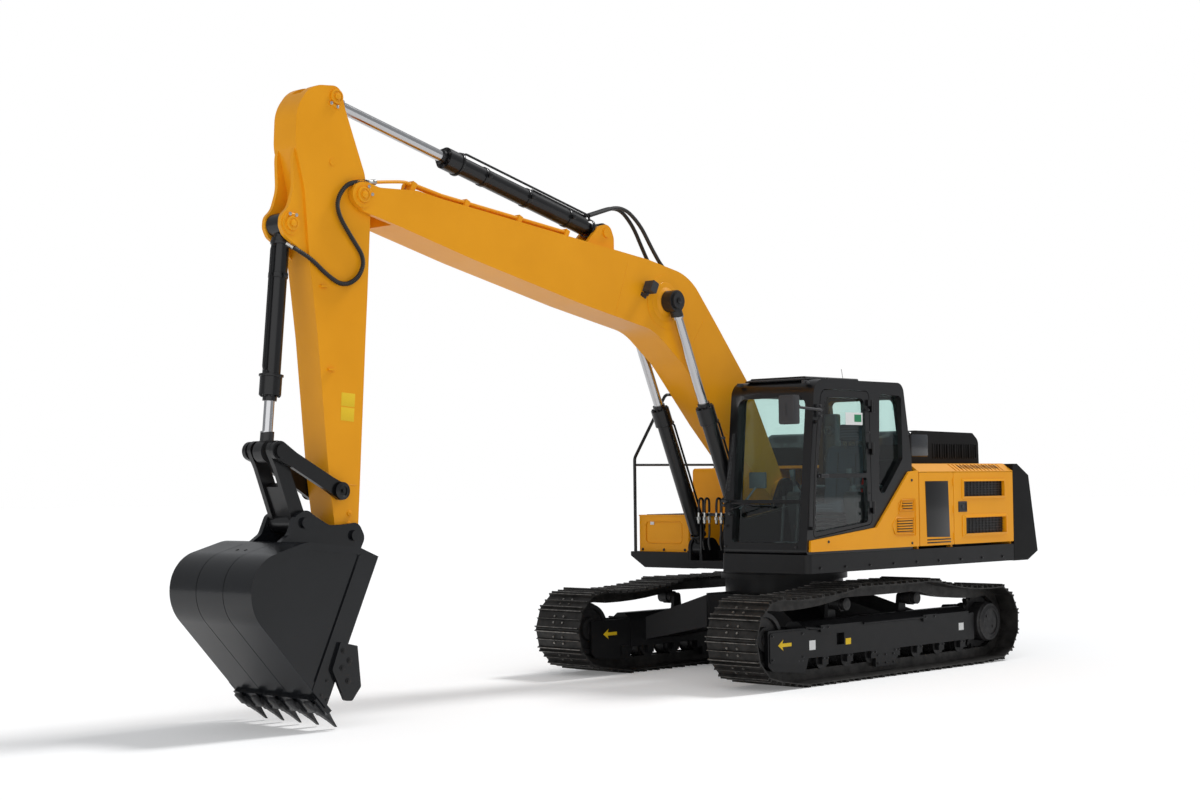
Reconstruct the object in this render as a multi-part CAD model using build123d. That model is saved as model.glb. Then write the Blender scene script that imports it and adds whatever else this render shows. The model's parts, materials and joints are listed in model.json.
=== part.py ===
from build123d import *
from math import acos, asin, atan2, cos, degrees, hypot, pi, radians, sin, tan
import os

# Crawler excavator of about 22 tonnes, in millimetres.
# +X is forward, +Y is left, +Z is up. The origin is on the ground, under the
# swing bearing's axis. Every side outline is a table of (x, z, corner radius).

os.makedirs("parts", exist_ok=True)

# ---- running clearances -------------------------------------------------
seat_gap = 0.3            # between curved faces of different bodies
side_gap = 6.0            # beside an eye or boss that turns between plates
panel_gap = 8.0           # round a door or lid

# ---- undercarriage ------------------------------------------------------
wheelbase = 3670.0        # sprocket centre to idler centre
track_gauge = 2255.0      # centre of one track to centre of the other
shoe_width = 600.0
shoe_count = 49
shoe_thickness = 12.0
grouser_height = 26.0
link_height = 100.0       # shoe's underside to the rail that the rollers run on
link_rail_inner = 40.0    # half gap between a chain's two rails
link_rail_outer = 86.0
idler_height = 460.0
sprocket_height = 416.0
end_belt_radius = 362.0   # shoe's underside round idler and sprocket
track_roller_radius = 80.0
track_roller_count = 8
track_roller_reach = 1380.0
belt_bend = 1500.0        # where the lower run starts to rise towards its ends
carrier_roller_radius = 70.0
carrier_roller_front = 560.0
carrier_roller_rear = -640.0
carrier_belt_height = 893.0
top_run_sag = 38.0
frame_beam_half = 140.0
frame_beam_bottom = 250.0
frame_beam_shoulder = 520.0
frame_beam_top = 592.0
frame_rear = -1500.0
frame_front = 1290.0
yoke_plate = 25.0
cover_plate = 40.0        # idler's outer cover
cover_front = 1858.0
cover_top = 543.0
tension_slot = (680.0, 802.0, 347.0, 475.0)   # x and z limits of the adjuster's opening
centre_guard_half = 168.0
side_plate_raise = 25.0
tie_lugs = ((926.0, 1080.0), (-877.0, -637.0))   # x limits of the lugs on the outer plate
final_drive_radius = 205.0
final_drive_reach = 175.0
sprocket_teeth = 21
tower_radius = 610.0
tower_top = 930.0
bearing_radius = 655.0
bearing_split = 990.0
carbody_bottom = 450.0
carbody_top = 790.0

# ---- revolving upper structure -----------------------------------------
deck_bottom = 1050.0
deck_top = 1228.0
right_deck_top = 1204.0
body_left = 1352.0
body_right = -1347.0
deck_rear = -2285.0
deck_centre_front = 930.0
cab_rear = -420.0
cab_front = 1340.0
cab_inner_side = 309.0
cab_outer_side = 1328.0
cab_floor = deck_top
cab_roof = 2905.0
cab_wall = 55.0
glass_thickness = 6.0
panel_sheet = 22.0
panel_bottom = 1256.0
side_top = 2006.0         # top of the upright side panels
hood_top = 2094.0
hood_edge = 1232.0        # where the bevel of the hood meets its flat top
panel_front = -506.0
panel_split = -1131.0
tank_front = -120.0
hydraulic_rear = -1120.0
tank_left = -620.0
tank_top = 2077.0
toolbox_front = 746.0
toolbox_left = -660.0
toolbox_top = 1589.0
mirror_drop = 305.0
mirror_centre = (1570.0, 1330.0, cab_roof - mirror_drop)
mirror_size = (90.0, 190.0, 270.0)
rail_tube = 17.0
grab_tube = 12.0
counterweight_bottom = 1046.0
counterweight_top = 2090.0
lifting_hole_x = -2430.0
lifting_hole_spacing = 1200.0
lifting_hole_radius = 20.0
lifting_hole_depth = 90.0

# ---- front attachment ---------------------------------------------------
boom_side = -120.0        # the attachment's middle plane, right of the swing axis
boom_foot = (150.0, 1815.0)
boom_length = 6080.0
boom_angle = 24.7
boom_width = 400.0
arm_length = 2835.0
arm_angle = -87.7
arm_width = 296.0
bucket_angle = 12.8
bucket_width = 1080.0
bucket_crank = 520.0
side_edge = 14.0          # wear strips on the bucket's sides
heel_edge = 8.0
seam_width = 7.0
tooth_count = 5
tooth_spacing = 228.0
tooth_width = 84.0
tooth_tip_width = 44.0
boom_plate = 42.0
boom_pipe = 15.0          # steel oil pipes on the boom's back
lamp_place = (2690.0, 950.0)            # in the boom's frame
cleat_places = ((802.0, 345.0), (1479.0, 242.0))   # in the arm's frame
hose_boss_place = (-240.0, 281.0)
boom_cylinder_foot = (815.0, 1249.0)
boom_cylinder_offset = 296.0
boom_cylinder_pin = (2362.0, 972.0)     # along and above the boom's chord
boom_barrel_length = 1548.0
boom_barrel_radius = 76.0
boom_rod_radius = 46.0
boom_rod_tail = 962.0                   # inner end from the base pin, as it stands
arm_cylinder_base = (3284.0, 1233.0)    # in the boom's frame
arm_cylinder_pin = (-790.0, 262.0)      # in the arm's frame
arm_barrel_length = 2028.0
arm_barrel_radius = 84.0
arm_rod_radius = 50.0
arm_rod_tail = 1553.0
bucket_cylinder_base = (320.0, 669.0)   # in the arm's frame
bucket_barrel_length = 1400.0
bucket_barrel_radius = 74.0
bucket_rod_radius = 42.0
bucket_rod_tail = 295.0
link_setback = 363.0                    # side links' pin, back from the bucket's pin
link_pin = (arm_length - link_setback, 146.0)
side_link_length = 682.0
bucket_link_length = 619.0
eye_radius = 105.0
pin_radius = 45.0
ear_inner = 160.0
ear_plate = 50.0


# ---- plain geometry -----------------------------------------------------
def rounded_face(corners, radii):
    """Planar face through the corners, each one rounded by its radius."""
    points = [Vector(*c) for c in corners]
    count = len(points)
    sides = [(points[(i + 1) % count] - points[i]) for i in range(count)]
    angles, reaches = [], []
    for i in range(count):
        back, ahead = -sides[i - 1].normalized(), sides[i].normalized()
        angles.append(acos(max(-1.0, min(1.0, back.dot(ahead)))))
        straight = abs(angles[i] - pi) < 0.002
        reaches.append(0.0 if straight else radii[i] / tan(angles[i] / 2))
    # a rounding is limited by the sides that it shares with its neighbours
    shares = [min(1.0, 0.999 * sides[i].length / max(reaches[i] + reaches[(i + 1) % count], 0.01))
              for i in range(count)]
    starts, ends, mids = [], [], []
    for i, here in enumerate(points):
        back, ahead = -sides[i - 1].normalized(), sides[i].normalized()
        reach = reaches[i] * min(shares[i - 1], shares[i])
        radius = reach * tan(angles[i] / 2)
        if reach < 0.01:
            starts.append(here)
            ends.append(here)
            mids.append(None)
            continue
        bisector = (back + ahead).normalized()
        starts.append(here + back * reach)
        ends.append(here + ahead * reach)
        mids.append(here + bisector * (radius / sin(angles[i] / 2) - radius))
    edges = []
    for i in range(count):
        if mids[i] is not None:
            edges.append(ThreePointArc(starts[i], mids[i], ends[i]))
        following = starts[(i + 1) % count]
        if (following - ends[i]).length > 0.001:
            edges.append(Line(ends[i], following))
    return Face(Wire(edges))


def slab(rows, y_low, y_high):
    """Side outline of (x, z, radius) rows, as thick as y_low to y_high."""
    face = rounded_face([(x, y_low, z) for x, z, r in rows], [r for x, z, r in rows])
    return extrude(face, amount=y_high - y_low, dir=(0, 1, 0))


def plan(rows, z_low, z_high):
    """Plan outline of (x, y, radius) rows, from z_low to z_high."""
    face = rounded_face([(x, y, z_low) for x, y, r in rows], [r for x, y, r in rows])
    return extrude(face, amount=z_high - z_low, dir=(0, 0, 1))


def section(rows, x_low, x_high):
    """Cross-section of (y, z, radius) rows, from x_low to x_high."""
    face = rounded_face([(x_low, y, z) for y, z, r in rows], [r for y, z, r in rows])
    return extrude(face, amount=x_high - x_low, dir=(1, 0, 0))


def block(x_low, x_high, y_low, y_high, z_low, z_high):
    """Box between two corners."""
    size = (x_high - x_low, y_high - y_low, z_high - z_low)
    middle = ((x_low + x_high) / 2, (y_low + y_high) / 2, (z_low + z_high) / 2)
    return Pos(*middle) * Box(*size)


def cross_pin(point, radius, y_low, y_high):
    """Cylinder along Y through a point (x, z)."""
    plane = Plane(origin=(point[0], y_low, point[1]), x_dir=(1, 0, 0), z_dir=(0, 1, 0))
    return extrude(plane * Circle(radius), amount=y_high - y_low)


def rod_between(start, end, radius):
    """Cylinder between two points."""
    axis = Vector(*end) - Vector(*start)
    plane = Plane(origin=start, z_dir=axis)
    return extrude(plane * Circle(radius), amount=axis.length)


def turned(profile, y_middle, x, z):
    """Wheel turned about Y from (offset from its middle, radius) rows."""
    rows = [(x, y_middle + offset, z + radius) for offset, radius in profile]
    rows = [(x, rows[0][1], z)] + rows + [(x, rows[-1][1], z)]
    face = Face(Wire([Line(rows[i - 1], rows[i]) for i in range(len(rows))]))
    return revolve(face, Axis((x, 0, z), (0, 1, 0)))


def tube(points, bends, radius):
    """Round tube along straight runs joined by bends."""
    path = FilletPolyline(*points, radius=bends) if bends else Polyline(*points)
    start = Plane(origin=path @ 0, z_dir=path % 0)
    return sweep(start * Circle(radius), path=path)


def frame_point(origin, angle, along, across):
    """Point given along and across a link that leans at an angle."""
    c, s = cos(radians(angle)), sin(radians(angle))
    return (origin[0] + along * c - across * s, origin[1] + along * s + across * c)


def mirrored(shape):
    """The other side's piece."""
    return mirror(shape, Plane.XZ)


def together(*shapes):
    """Solids that share a node."""
    solids = []
    for shape in shapes:
        solids += list(shape.solids())
    return Compound(solids)


def write(shape, node):
    export_step(shape, f"parts/{node}.step")


boom_tip = frame_point(boom_foot, boom_angle, boom_length, 0)
arm_tip = frame_point(boom_tip, arm_angle, arm_length, 0)


def on_boom(rows):
    return [frame_point(boom_foot, boom_angle, u, v) + (r,) for u, v, r in rows]


def on_arm(rows):
    return [frame_point(boom_tip, arm_angle, u, v) + (r,) for u, v, r in rows]


def on_bucket(rows):
    return [frame_point(arm_tip, bucket_angle, u, v) + (r,) for u, v, r in rows]


# ---- tracks -------------------------------------------------------------
belt_floor = grouser_height + shoe_thickness
roller_belt = link_height + track_roller_radius
# supports of the belt, anticlockwise seen from the right: x, z, radius, sag after it
supports = [
    (-belt_bend, belt_floor + roller_belt, roller_belt, 0.0),
    (belt_bend, belt_floor + roller_belt, roller_belt, 0.0),
    (wheelbase / 2, idler_height, end_belt_radius, top_run_sag),
    (carrier_roller_front, carrier_belt_height - link_height - carrier_roller_radius,
     link_height + carrier_roller_radius, 4.0),
    (carrier_roller_rear, carrier_belt_height - link_height - carrier_roller_radius,
     link_height + carrier_roller_radius, top_run_sag),
    (-wheelbase / 2, sprocket_height, end_belt_radius, 0.0),
]


def belt_wire():
    """Closed line of the shoes' undersides."""
    normals = []
    for i, (x, z, radius, sag) in enumerate(supports):
        nx, nz, nradius, nsag = supports[(i + 1) % len(supports)]
        span = hypot(nx - x, nz - z)
        heading = atan2(nz - z, nx - x)
        normals.append(heading - pi / 2 + asin((radius - nradius) / span))
    edges = []
    for i, (x, z, radius, sag) in enumerate(supports):
        first, last = normals[i - 1], normals[i]
        while last < first:
            last += 2 * pi
        middle = (first + last) / 2
        arc = [(x + radius * cos(a), 0, z + radius * sin(a)) for a in (first, middle, last)]
        edges.append(ThreePointArc(*arc))
        nx, nz, nradius, nsag = supports[(i + 1) % len(supports)]
        leave = Vector(x + radius * cos(last), 0, z + radius * sin(last))
        land = Vector(nx + nradius * cos(last), 0, nz + nradius * sin(last))
        if sag:
            low = (leave + land) / 2 - Vector(0, 0, sag)
            edges.append(ThreePointArc(leave, low, land))
        else:
            edges.append(Line(leave, land))
    return Wire(edges)


belt = belt_wire()
shoe_pitch = belt.length / shoe_count

# one shoe's outer outline: share of the pitch along it, height over its underside
shoe_rows = [
    (-0.488, shoe_thickness), (-0.462, belt_floor), (-0.425, belt_floor),
    (-0.39, shoe_thickness), (-0.05, shoe_thickness), (0.0, belt_floor - 4),
    (0.05, shoe_thickness), (0.39, shoe_thickness), (0.425, belt_floor),
    (0.462, belt_floor), (0.488, shoe_thickness),
]


def shoe_frames():
    """Centre and heading of every shoe on the belt."""
    frames = []
    for i in range(shoe_count):
        share = (i + 0.5) / shoe_count
        centre, heading = belt @ share, belt % share
        frames.append((centre, heading, Vector(heading.Z, 0, -heading.X)))
    return frames


def belt_polygon(frames, depth):
    """Polygon at a depth under the shoes, with one corner at each joint."""
    corners = []
    for i, (centre, heading, outward) in enumerate(frames):
        last_centre, last_heading, last_outward = frames[i - 1]
        here = centre - heading * (shoe_pitch / 2) + outward * depth
        there = last_centre + last_heading * (shoe_pitch / 2) + last_outward * depth
        corners.append((here + there) / 2)
    return corners


def prism(corners, y_low, y_high):
    shifted = [Vector(c.X, y_low, c.Z) for c in corners]
    face = Face(Wire(Polyline(*shifted, close=True).edges()))
    return extrude(face, amount=y_high - y_low, dir=(0, 1, 0))


def track(y_middle):
    """Shoes as one loop, on the chain's two rails."""
    frames = shoe_frames()
    outline = []
    for centre, heading, outward in frames:
        for share, height in shoe_rows:
            outline.append(centre + heading * (share * shoe_pitch) + outward * height)
    low, high = y_middle - shoe_width / 2, y_middle + shoe_width / 2
    loop = prism(outline, low, high) - prism(belt_polygon(frames, 0), low - 1, high + 1)
    rail_out = belt_polygon(frames, shoe_thickness / 2)
    rail_in = belt_polygon(frames, -link_height)
    for side in (-1, 1):
        a = y_middle + side * link_rail_inner
        b = y_middle + side * link_rail_outer
        a, b = min(a, b), max(a, b)
        rail = prism(rail_out, a, b) - prism(rail_in, a - 1, b + 1)
        loop = loop + rail
    return loop


def sprocket_and_drive(side):
    """Toothed ring on the round final drive, which faces outwards."""
    y = side * track_gauge / 2
    x, z = -wheelbase / 2, sprocket_height
    root = end_belt_radius - link_height + 4
    tip = end_belt_radius - link_height + 48
    outline = []
    for i in range(sprocket_teeth):
        for share, radius in ((-0.30, root), (-0.14, tip), (0.14, tip), (0.30, root)):
            a = 2 * pi * (i + share) / sprocket_teeth
            outline.append(Vector(x + radius * cos(a), 0, z + radius * sin(a)))
    ring = prism(outline, y - 27, y + 27)
    drum_rows = [(-175, final_drive_radius - 15), (-60, final_drive_radius - 15),
                 (-60, final_drive_radius + 10), (-30, final_drive_radius + 10),
                 (-30, final_drive_radius), (final_drive_reach - 20, final_drive_radius),
                 (final_drive_reach, final_drive_radius - 18)]
    rows = [(side * o, r) for o, r in drum_rows]
    return ring + turned(rows, y, x, z)


def idler(side):
    """Front wheel with its centre flange between the chain's rails."""
    y = side * track_gauge / 2
    tread = end_belt_radius - link_height - 12
    half = frame_beam_half - yoke_plate - 15 - seat_gap
    rows = [(-half, 55), (-90, 55), (-90, 110), (-60, 120), (-60, tread - 45), (-88, tread - 40),
            (-88, tread), (-34, tread), (-34, tread + 18), (34, tread + 18), (34, tread),
            (88, tread), (88, tread - 40), (60, tread - 45), (60, 120), (90, 110), (90, 55),
            (half, 55)]
    return turned(rows, y, wheelbase / 2, idler_height)


def track_roller(side, x):
    y = side * track_gauge / 2
    r = track_roller_radius - seat_gap
    z = belt_floor + roller_belt
    half = frame_beam_half - 40 - seat_gap
    rows = [(-half, 42), (-97, 42), (-97, r + 14), (-88, r), (-37, r), (-37, r + 12),
            (37, r + 12), (37, r), (88, r), (97, r + 14), (97, 42), (half, 42)]
    return turned(rows, y, x, z)


def carrier_roller(side, x):
    y = side * track_gauge / 2
    z = carrier_belt_height - link_height - carrier_roller_radius
    r = carrier_roller_radius - 10
    rows = [(-100, 34), (-88, r), (-34, r), (-34, r + 10), (34, r + 10), (34, r), (88, r), (96, 34)]
    return turned([(side * o, q) for o, q in rows], y, x, z)


def roller_places():
    step = 2 * track_roller_reach / (track_roller_count - 1)
    return [-track_roller_reach + i * step for i in range(track_roller_count)]


def track_frame(side):
    """Side beam with a roof-shaped top, the idler's yoke and the roller brackets."""
    y = side * track_gauge / 2
    h = frame_beam_half
    roof = [(y - h, frame_beam_bottom, 0), (y + h, frame_beam_bottom, 0),
            (y + h, frame_beam_shoulder, 12), (y + h - 90, frame_beam_top, 30),
            (y - h + 90, frame_beam_top, 30), (y - h, frame_beam_shoulder, 12)]
    beam = section(roof, frame_rear, frame_front)
    beam = beam - block(frame_rear - 1, frame_front + 1, y - h + 40, y + h - 40,
                        frame_beam_bottom - 1, belt_floor + roller_belt + track_roller_radius + 26)
    x_low, x_high, z_low, z_high = tension_slot
    outer_face = y + side * h
    beam = beam - block(x_low, x_high, *sorted((outer_face - side * 70, outer_face + side)),
                        z_low, z_high)
    x = wheelbase / 2
    yoke_rows = [(frame_front - 60, 290, 0), (frame_front + 12, 115, 20), (x - 40, 165, 60),
                 (cover_front, 215, 20), (cover_front, cover_top, 20),
                 (frame_front - 40, cover_top - 6, 20), (frame_front - 60, 450, 0)]
    for s, plate in ((side, cover_plate), (-side, yoke_plate)):
        inner = y + s * (h - cover_plate)
        beam = beam + slab(yoke_rows, *sorted((inner, inner + s * plate)))
    lid_rows = [(frame_front + 20, 185, 30), (cover_front - 20, 240, 30),
                (cover_front - 20, cover_top - 22, 30), (frame_front + 20, cover_top - 22, 30)]
    beam = beam + slab(lid_rows, *sorted((outer_face - side * 5, outer_face + side * 8)))
    low, high = frame_beam_shoulder - 60, frame_beam_shoulder + side_plate_raise
    for a, b in ((tie_lugs[0][1], 376), (tie_lugs[1][1], frame_rear)):
        raised = slab([(a, low, 0), (a, high, 8), (b, high, 8), (b, low, 0)],
                      *sorted((outer_face - side * 16, outer_face)))
        beam = beam + raised
    for a, b in tie_lugs:
        lug = slab([(a, low + 25, 6), (b, low + 25, 6), (b, high + 8, 6), (a, high + 8, 6)],
                   *sorted((outer_face - side * 16, outer_face + side * 22)))
        beam = beam + lug
    for x_roller in roller_places():
        for s in (-1, 1):
            a, b = y + s * (h - 40), y + s * h
            beam = beam + block(x_roller - 48, x_roller + 48, min(a, b), max(a, b),
                                belt_floor + roller_belt - 44, frame_beam_bottom + 20)
    for s in (-1, 1):
        beam = beam + block(-centre_guard_half, centre_guard_half,
                            *sorted((y + s * (h - 40), y + s * h)), 88, frame_beam_bottom + 20)
    end_plate = slab([(frame_rear - 100, 245, 20), (frame_rear + 10, 245, 0),
                      (frame_rear + 10, 520, 0), (frame_rear - 100, 528, 20)],
                     *sorted((y + side * (h - 30), y + side * h)))
    beam = beam + end_plate
    carrier_z = carrier_belt_height - link_height - carrier_roller_radius
    for x_roller in (carrier_roller_front, carrier_roller_rear):
        a, b = y - side * 100.3, y - side * 140
        post = slab([(x_roller - 75, frame_beam_shoulder, 0), (x_roller + 75, frame_beam_shoulder, 0),
                     (x_roller + 45, carrier_z + 45, 40), (x_roller - 45, carrier_z + 45, 40)],
                    min(a, b), max(a, b))
        beam = beam + post
    back = slab([(frame_rear - 75, 210, 40), (frame_rear + 20, 210, 0), (frame_rear + 20, 500, 0),
                 (frame_rear - 75, 590, 40)], y - h, y - h + 60)
    if side < 0:
        back = slab([(frame_rear - 75, 210, 40), (frame_rear + 20, 210, 0),
                     (frame_rear + 20, 500, 0), (frame_rear - 75, 590, 40)], y + h - 60, y + h)
    drive_plate = slab([(-wheelbase / 2 - 150, 250, 120), (frame_rear - 20, 210, 40),
                        (frame_rear - 20, 600, 40), (-wheelbase / 2 - 150, 585, 120)],
                       *sorted((y - side * 175.3, y - side * 215)))
    web = block(frame_rear - 80, frame_rear + 60, *sorted((y - side * 100, y - side * 215)),
                280, 460)
    return beam + back + drive_plate + web


def carbody():
    """Centre box with four legs and the swing bearing's round tower."""
    low, high = carbody_bottom, carbody_top
    body = plan([(-780, -430, 60), (780, -430, 60), (780, 430, 60), (-780, 430, 60)], low, high)
    reach = track_gauge / 2 - frame_beam_half
    for sx in (-1, 1):
        for sy in (-1, 1):
            near = [(sx * 150, sy * 400, low), (sx * 760, sy * 400, low),
                    (sx * 760, sy * 400, high - 12), (sx * 150, sy * 400, high - 12)]
            far = [(sx * 520, sy * reach, frame_beam_bottom + 60),
                   (sx * 1060, sy * reach, frame_beam_bottom + 60),
                   (sx * 1060, sy * reach, frame_beam_shoulder + 20),
                   (sx * 520, sy * reach, frame_beam_shoulder + 20)]
            legs = [Face(Wire(Polyline(*ring, close=True).edges())) for ring in (near, far)]
            body = body + loft(legs, ruled=True)
    tower = Pos(0, 0, (high + tower_top) / 2) * Cylinder(tower_radius, tower_top - high + 2)
    outer = Pos(0, 0, (tower_top + bearing_split) / 2) * Cylinder(bearing_radius,
                                                                 bearing_split - tower_top)
    return body + tower + outer


# ---- revolving frame ----------------------------------------------------
def revolving_frame():
    """Deck with its side skirts, the boom's foot brackets and cylinder lugs."""
    centre = block(deck_rear, deck_centre_front, -520, 290, deck_bottom, deck_top)
    left = plan([(deck_rear, 280, 0), (cab_front - 4, 280, 40), (cab_front - 4, body_left - 4, 60),
                 (deck_rear, body_left - 4, 0)], deck_bottom, deck_top)
    right = section([(-510, 1040, 0), (-510, right_deck_top, 0), (-1400, right_deck_top, 0),
                     (-1400, 1160, 0), (-1200, 1040, 0)], -560, 830)
    right_rear = block(deck_rear, -550, body_right, -510, deck_bottom, deck_top)
    frame = centre + left + right + right_rear
    foot_recess = boom_cylinder_foot[0] - 150
    frame = frame - block(foot_recess, deck_centre_front + 1, -510, 279, 1130, deck_top + 1)
    # pockets in the underside: x low, x high, y low, y high
    pockets = [(-2200, -1500, 340, 1290), (-1440, -760, 340, 1290), (-700, 60, 640, 1290),
               (120, 660, 640, 1290), (720, 1270, 340, 1290),
               (-2200, -1500, -1290, -560), (-1440, -760, -1290, -560), (-700, 60, -1130, -640),
               (120, 780, -1130, -560), (-2200, -1500, -480, 260), (-1440, -760, -480, 260)]
    for x_low, x_high, y_low, y_high in pockets:
        frame = frame - block(x_low, x_high, y_low, y_high, deck_bottom - 30, deck_top - 60)
    ring = Pos(0, 0, (bearing_split + deck_bottom) / 2 + 1) * Cylinder(
        bearing_radius - 30, deck_bottom - bearing_split - 2 * seat_gap + 2)
    frame = frame + ring
    foot_x, foot_z = boom_foot
    for side in (-1, 1):
        a = boom_side + side * 252
        b = boom_side + side * (252 + boom_plate)
        cheek = slab([(-900, deck_top - 20, 0), (560, deck_top - 20, 0), (530, 1330, 60),
                      (foot_x + 165, foot_z - 20, 120), (foot_x + 60, foot_z + 160, 120),
                      (foot_x - 160, foot_z + 120, 120), (-420, 1560, 200), (-900, 1330, 60)],
                     min(a, b), max(a, b))
        boss = cross_pin(boom_foot, 120, *sorted((boom_side + side * 252,
                                                  boom_side + side * (270 + boom_plate))))
        frame = frame + cheek + boss
        for offset in (boom_cylinder_offset - 60 - 34, boom_cylinder_offset + 60):
            lug_low = boom_side + side * offset
            lug_high = boom_side + side * (offset + 34)
            x, z = boom_cylinder_foot
            lug = slab([(x - 300, deck_bottom + 40, 0), (x + 112, deck_bottom + 40, 0),
                        (x + 112, z + 112, 108), (x - 90, z + 112, 108)],
                       min(lug_low, lug_high), max(lug_low, lug_high))
            frame = frame + lug
    for side in (-1, 1):
        y = boom_side + side * boom_cylinder_offset
        frame = frame + cross_pin(boom_cylinder_foot, pin_radius, y - 100, y + 100)
    frame = frame + cross_pin(boom_foot, 55, boom_side - 330, boom_side + 330)
    return frame


def counterweight():
    """Cast block whose tail follows the swing radius, bevelled above and below."""
    rings = []
    # height, side edge's x, tail's x in the middle
    for z, side_x, tail_x in ((counterweight_bottom, -2560, -2790), (1140, -2765, -2975),
                              (1965, -2600, -2830), (counterweight_top, -2370, -2640)):
        half = body_left - 2
        corners = [(deck_rear, -half, z), (deck_rear, half, z), (side_x, half, z)]
        edges = [Line(corners[0], corners[1]), Line(corners[1], corners[2]),
                 ThreePointArc(corners[2], (tail_x, 0, z), (side_x, -half, z)),
                 Line((side_x, -half, z), corners[0])]
        rings.append(Face(Wire(edges)))
    block_ = loft(rings, ruled=True)
    for side in (-1, 1):
        hole = Pos(lifting_hole_x, side * lifting_hole_spacing / 2,
                   counterweight_top - lifting_hole_depth / 2) * Cylinder(lifting_hole_radius,
                                                                         lifting_hole_depth)
        block_ = block_ - hole
    return block_


# ---- cab ----------------------------------------------------------------
cab_rows = [(cab_front, cab_floor, 40), (1172, cab_roof, 150), (-285, cab_roof, 110),
            (cab_rear, 2130, 60), (cab_rear, cab_floor, 30)]
door_rows = [(1218, 1392, 30), (1176, 1995, 300), (1068, 2802, 90), (300, 2802, 60),
             (276, 1502, 60)]
door_hinge = (270.0, 1350.0)
door_hinge_heights = (1660.0, 2240.0, 2660.0)
door_upper = [(1163, 1998, 30), (1002, 2732, 70), (378, 2732, 70), (346, 1998, 30)]
door_lower = [(1201, 1436, 40), (1166, 1956, 30), (346, 1956, 30), (338, 1520, 40)]
quarter_rows = [(118, 2786, 40), (-252, 2770, 40), (-262, 2140, 60), (150, 1700, 60)]


def cab_side_face(y):
    return rounded_face([(x, y, z) for x, z, r in cab_rows], [r for x, z, r in cab_rows])


def inner_space(inset, y_low, y_high):
    face = offset(cab_side_face(y_low), amount=-inset, kind=Kind.INTERSECTION)
    return extrude(face, amount=y_high - y_low, dir=(0, 1, 0))


def window_cutters(grow):
    """Prisms through the cab's walls, one for each window."""
    left, right = cab_outer_side, cab_inner_side
    front = section([(right + 95 - grow, 1340 - grow, 40), (left - 95 + grow, 1340 - grow, 40),
                     (left - 95 + grow, 2735 + grow, 90), (right + 95 - grow, 2735 + grow, 90)],
                    1000, 1500)
    rear = section([(right + 110 - grow, 2140 - grow, 40), (left - 110 + grow, 2140 - grow, 40),
                    (left - 110 + grow, 2740 + grow, 60), (right + 110 - grow, 2740 + grow, 60)],
                   -500, -200)
    side = slab([(-220 - grow, 1760 - grow, 60), (1120 + grow, 1560 - grow, 60),
                 (1010 + grow, 2760 + grow, 80), (-220 - grow, 2760 + grow, 80)],
                right - 50, right + 120)
    shift = grow * 0.9
    quarter = slab([(118 + shift, 2786 + shift, 40), (-252 - shift, 2770 + shift, 40),
                    (-262 - shift, 2140 - shift, 60), (150 + shift, 1700 - shift, 60)],
                   left - 120, left + 50)
    return [front, rear, side, quarter]


def cab_frame():
    """Hollow cab of one wall thickness, with its windows and door cut out."""
    shell = extrude(cab_side_face(cab_inner_side), amount=cab_outer_side - cab_inner_side,
                    dir=(0, 1, 0))
    shell = shell - inner_space(cab_wall, cab_inner_side + cab_wall, cab_outer_side - cab_wall)
    for cutter in window_cutters(0):
        shell = shell - cutter
    hole = offset(rounded_face([(x, cab_outer_side - 80, z) for x, z, r in door_rows],
                               [r for x, z, r in door_rows]), amount=panel_gap)
    shell = shell - extrude(hole, amount=140, dir=(0, 1, 0))
    bar = section([(cab_inner_side + 60, 1716, 0), (cab_outer_side - 60, 1716, 0),
                   (cab_outer_side - 60, 1752, 0), (cab_inner_side + 60, 1752, 0)],
                  1150, 1400)
    skin = extrude(cab_side_face(cab_inner_side), amount=cab_outer_side - cab_inner_side,
                   dir=(0, 1, 0)) - inner_space(45, cab_inner_side, cab_outer_side)
    hatch = section([(470, cab_roof - 5, 0), (1170, cab_roof - 5, 0), (1160, cab_roof + 34, 20),
                     (480, cab_roof + 34, 20)], 240, 1090)
    shell = shell + (bar & skin) + hatch
    hinge_x, hinge_y = door_hinge
    for z in door_hinge_heights:
        shell = shell + block(hinge_x - 60, hinge_x, cab_outer_side - 1, hinge_y, z - 60 - seat_gap,
                              z - seat_gap)
        shell = shell + Pos(hinge_x, hinge_y, z - 30 - seat_gap) * Cylinder(16, 60)
    return shell


def cab_glass():
    """Fixed panes, which lie against the inside of the walls."""
    low, high = cab_inner_side + cab_wall, cab_outer_side - cab_wall
    lining = inner_space(cab_wall, low, high)
    lining = lining - inner_space(cab_wall + glass_thickness, low + glass_thickness,
                                  high - glass_thickness)
    panes = [lining & cutter for cutter in window_cutters(18)]
    return together(*panes)


def cab_door():
    """Door leaf with its two windows cut out."""
    leaf = slab(door_rows, cab_outer_side - 42, cab_outer_side)
    leaf = leaf - slab(door_upper, cab_outer_side - 60, cab_outer_side + 20)
    leaf = leaf - slab(door_lower, cab_outer_side - 60, cab_outer_side + 20)
    hinge_x, hinge_y = door_hinge
    for z in door_hinge_heights:
        leaf = leaf + block(hinge_x, hinge_x + 70, cab_outer_side + 3, hinge_y, z, z + 60)
        leaf = leaf + block(hinge_x + 40, hinge_x + 70, cab_outer_side - 1, hinge_y, z, z + 60)
        leaf = leaf + Pos(hinge_x, hinge_y, z + 30) * Cylinder(16, 60)
    return leaf


def door_glass():
    """The door's two panes, against the inside of the leaf."""
    inner = cab_outer_side - 42
    panes = []
    for rows in (door_upper, door_lower):
        face = rounded_face([(x, inner - glass_thickness, z) for x, z, r in rows],
                            [r for x, z, r in rows])
        pane = offset(face, amount=12)
        panes.append(extrude(pane, amount=glass_thickness, dir=(0, 1, 0)))
    return together(*panes)


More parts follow.
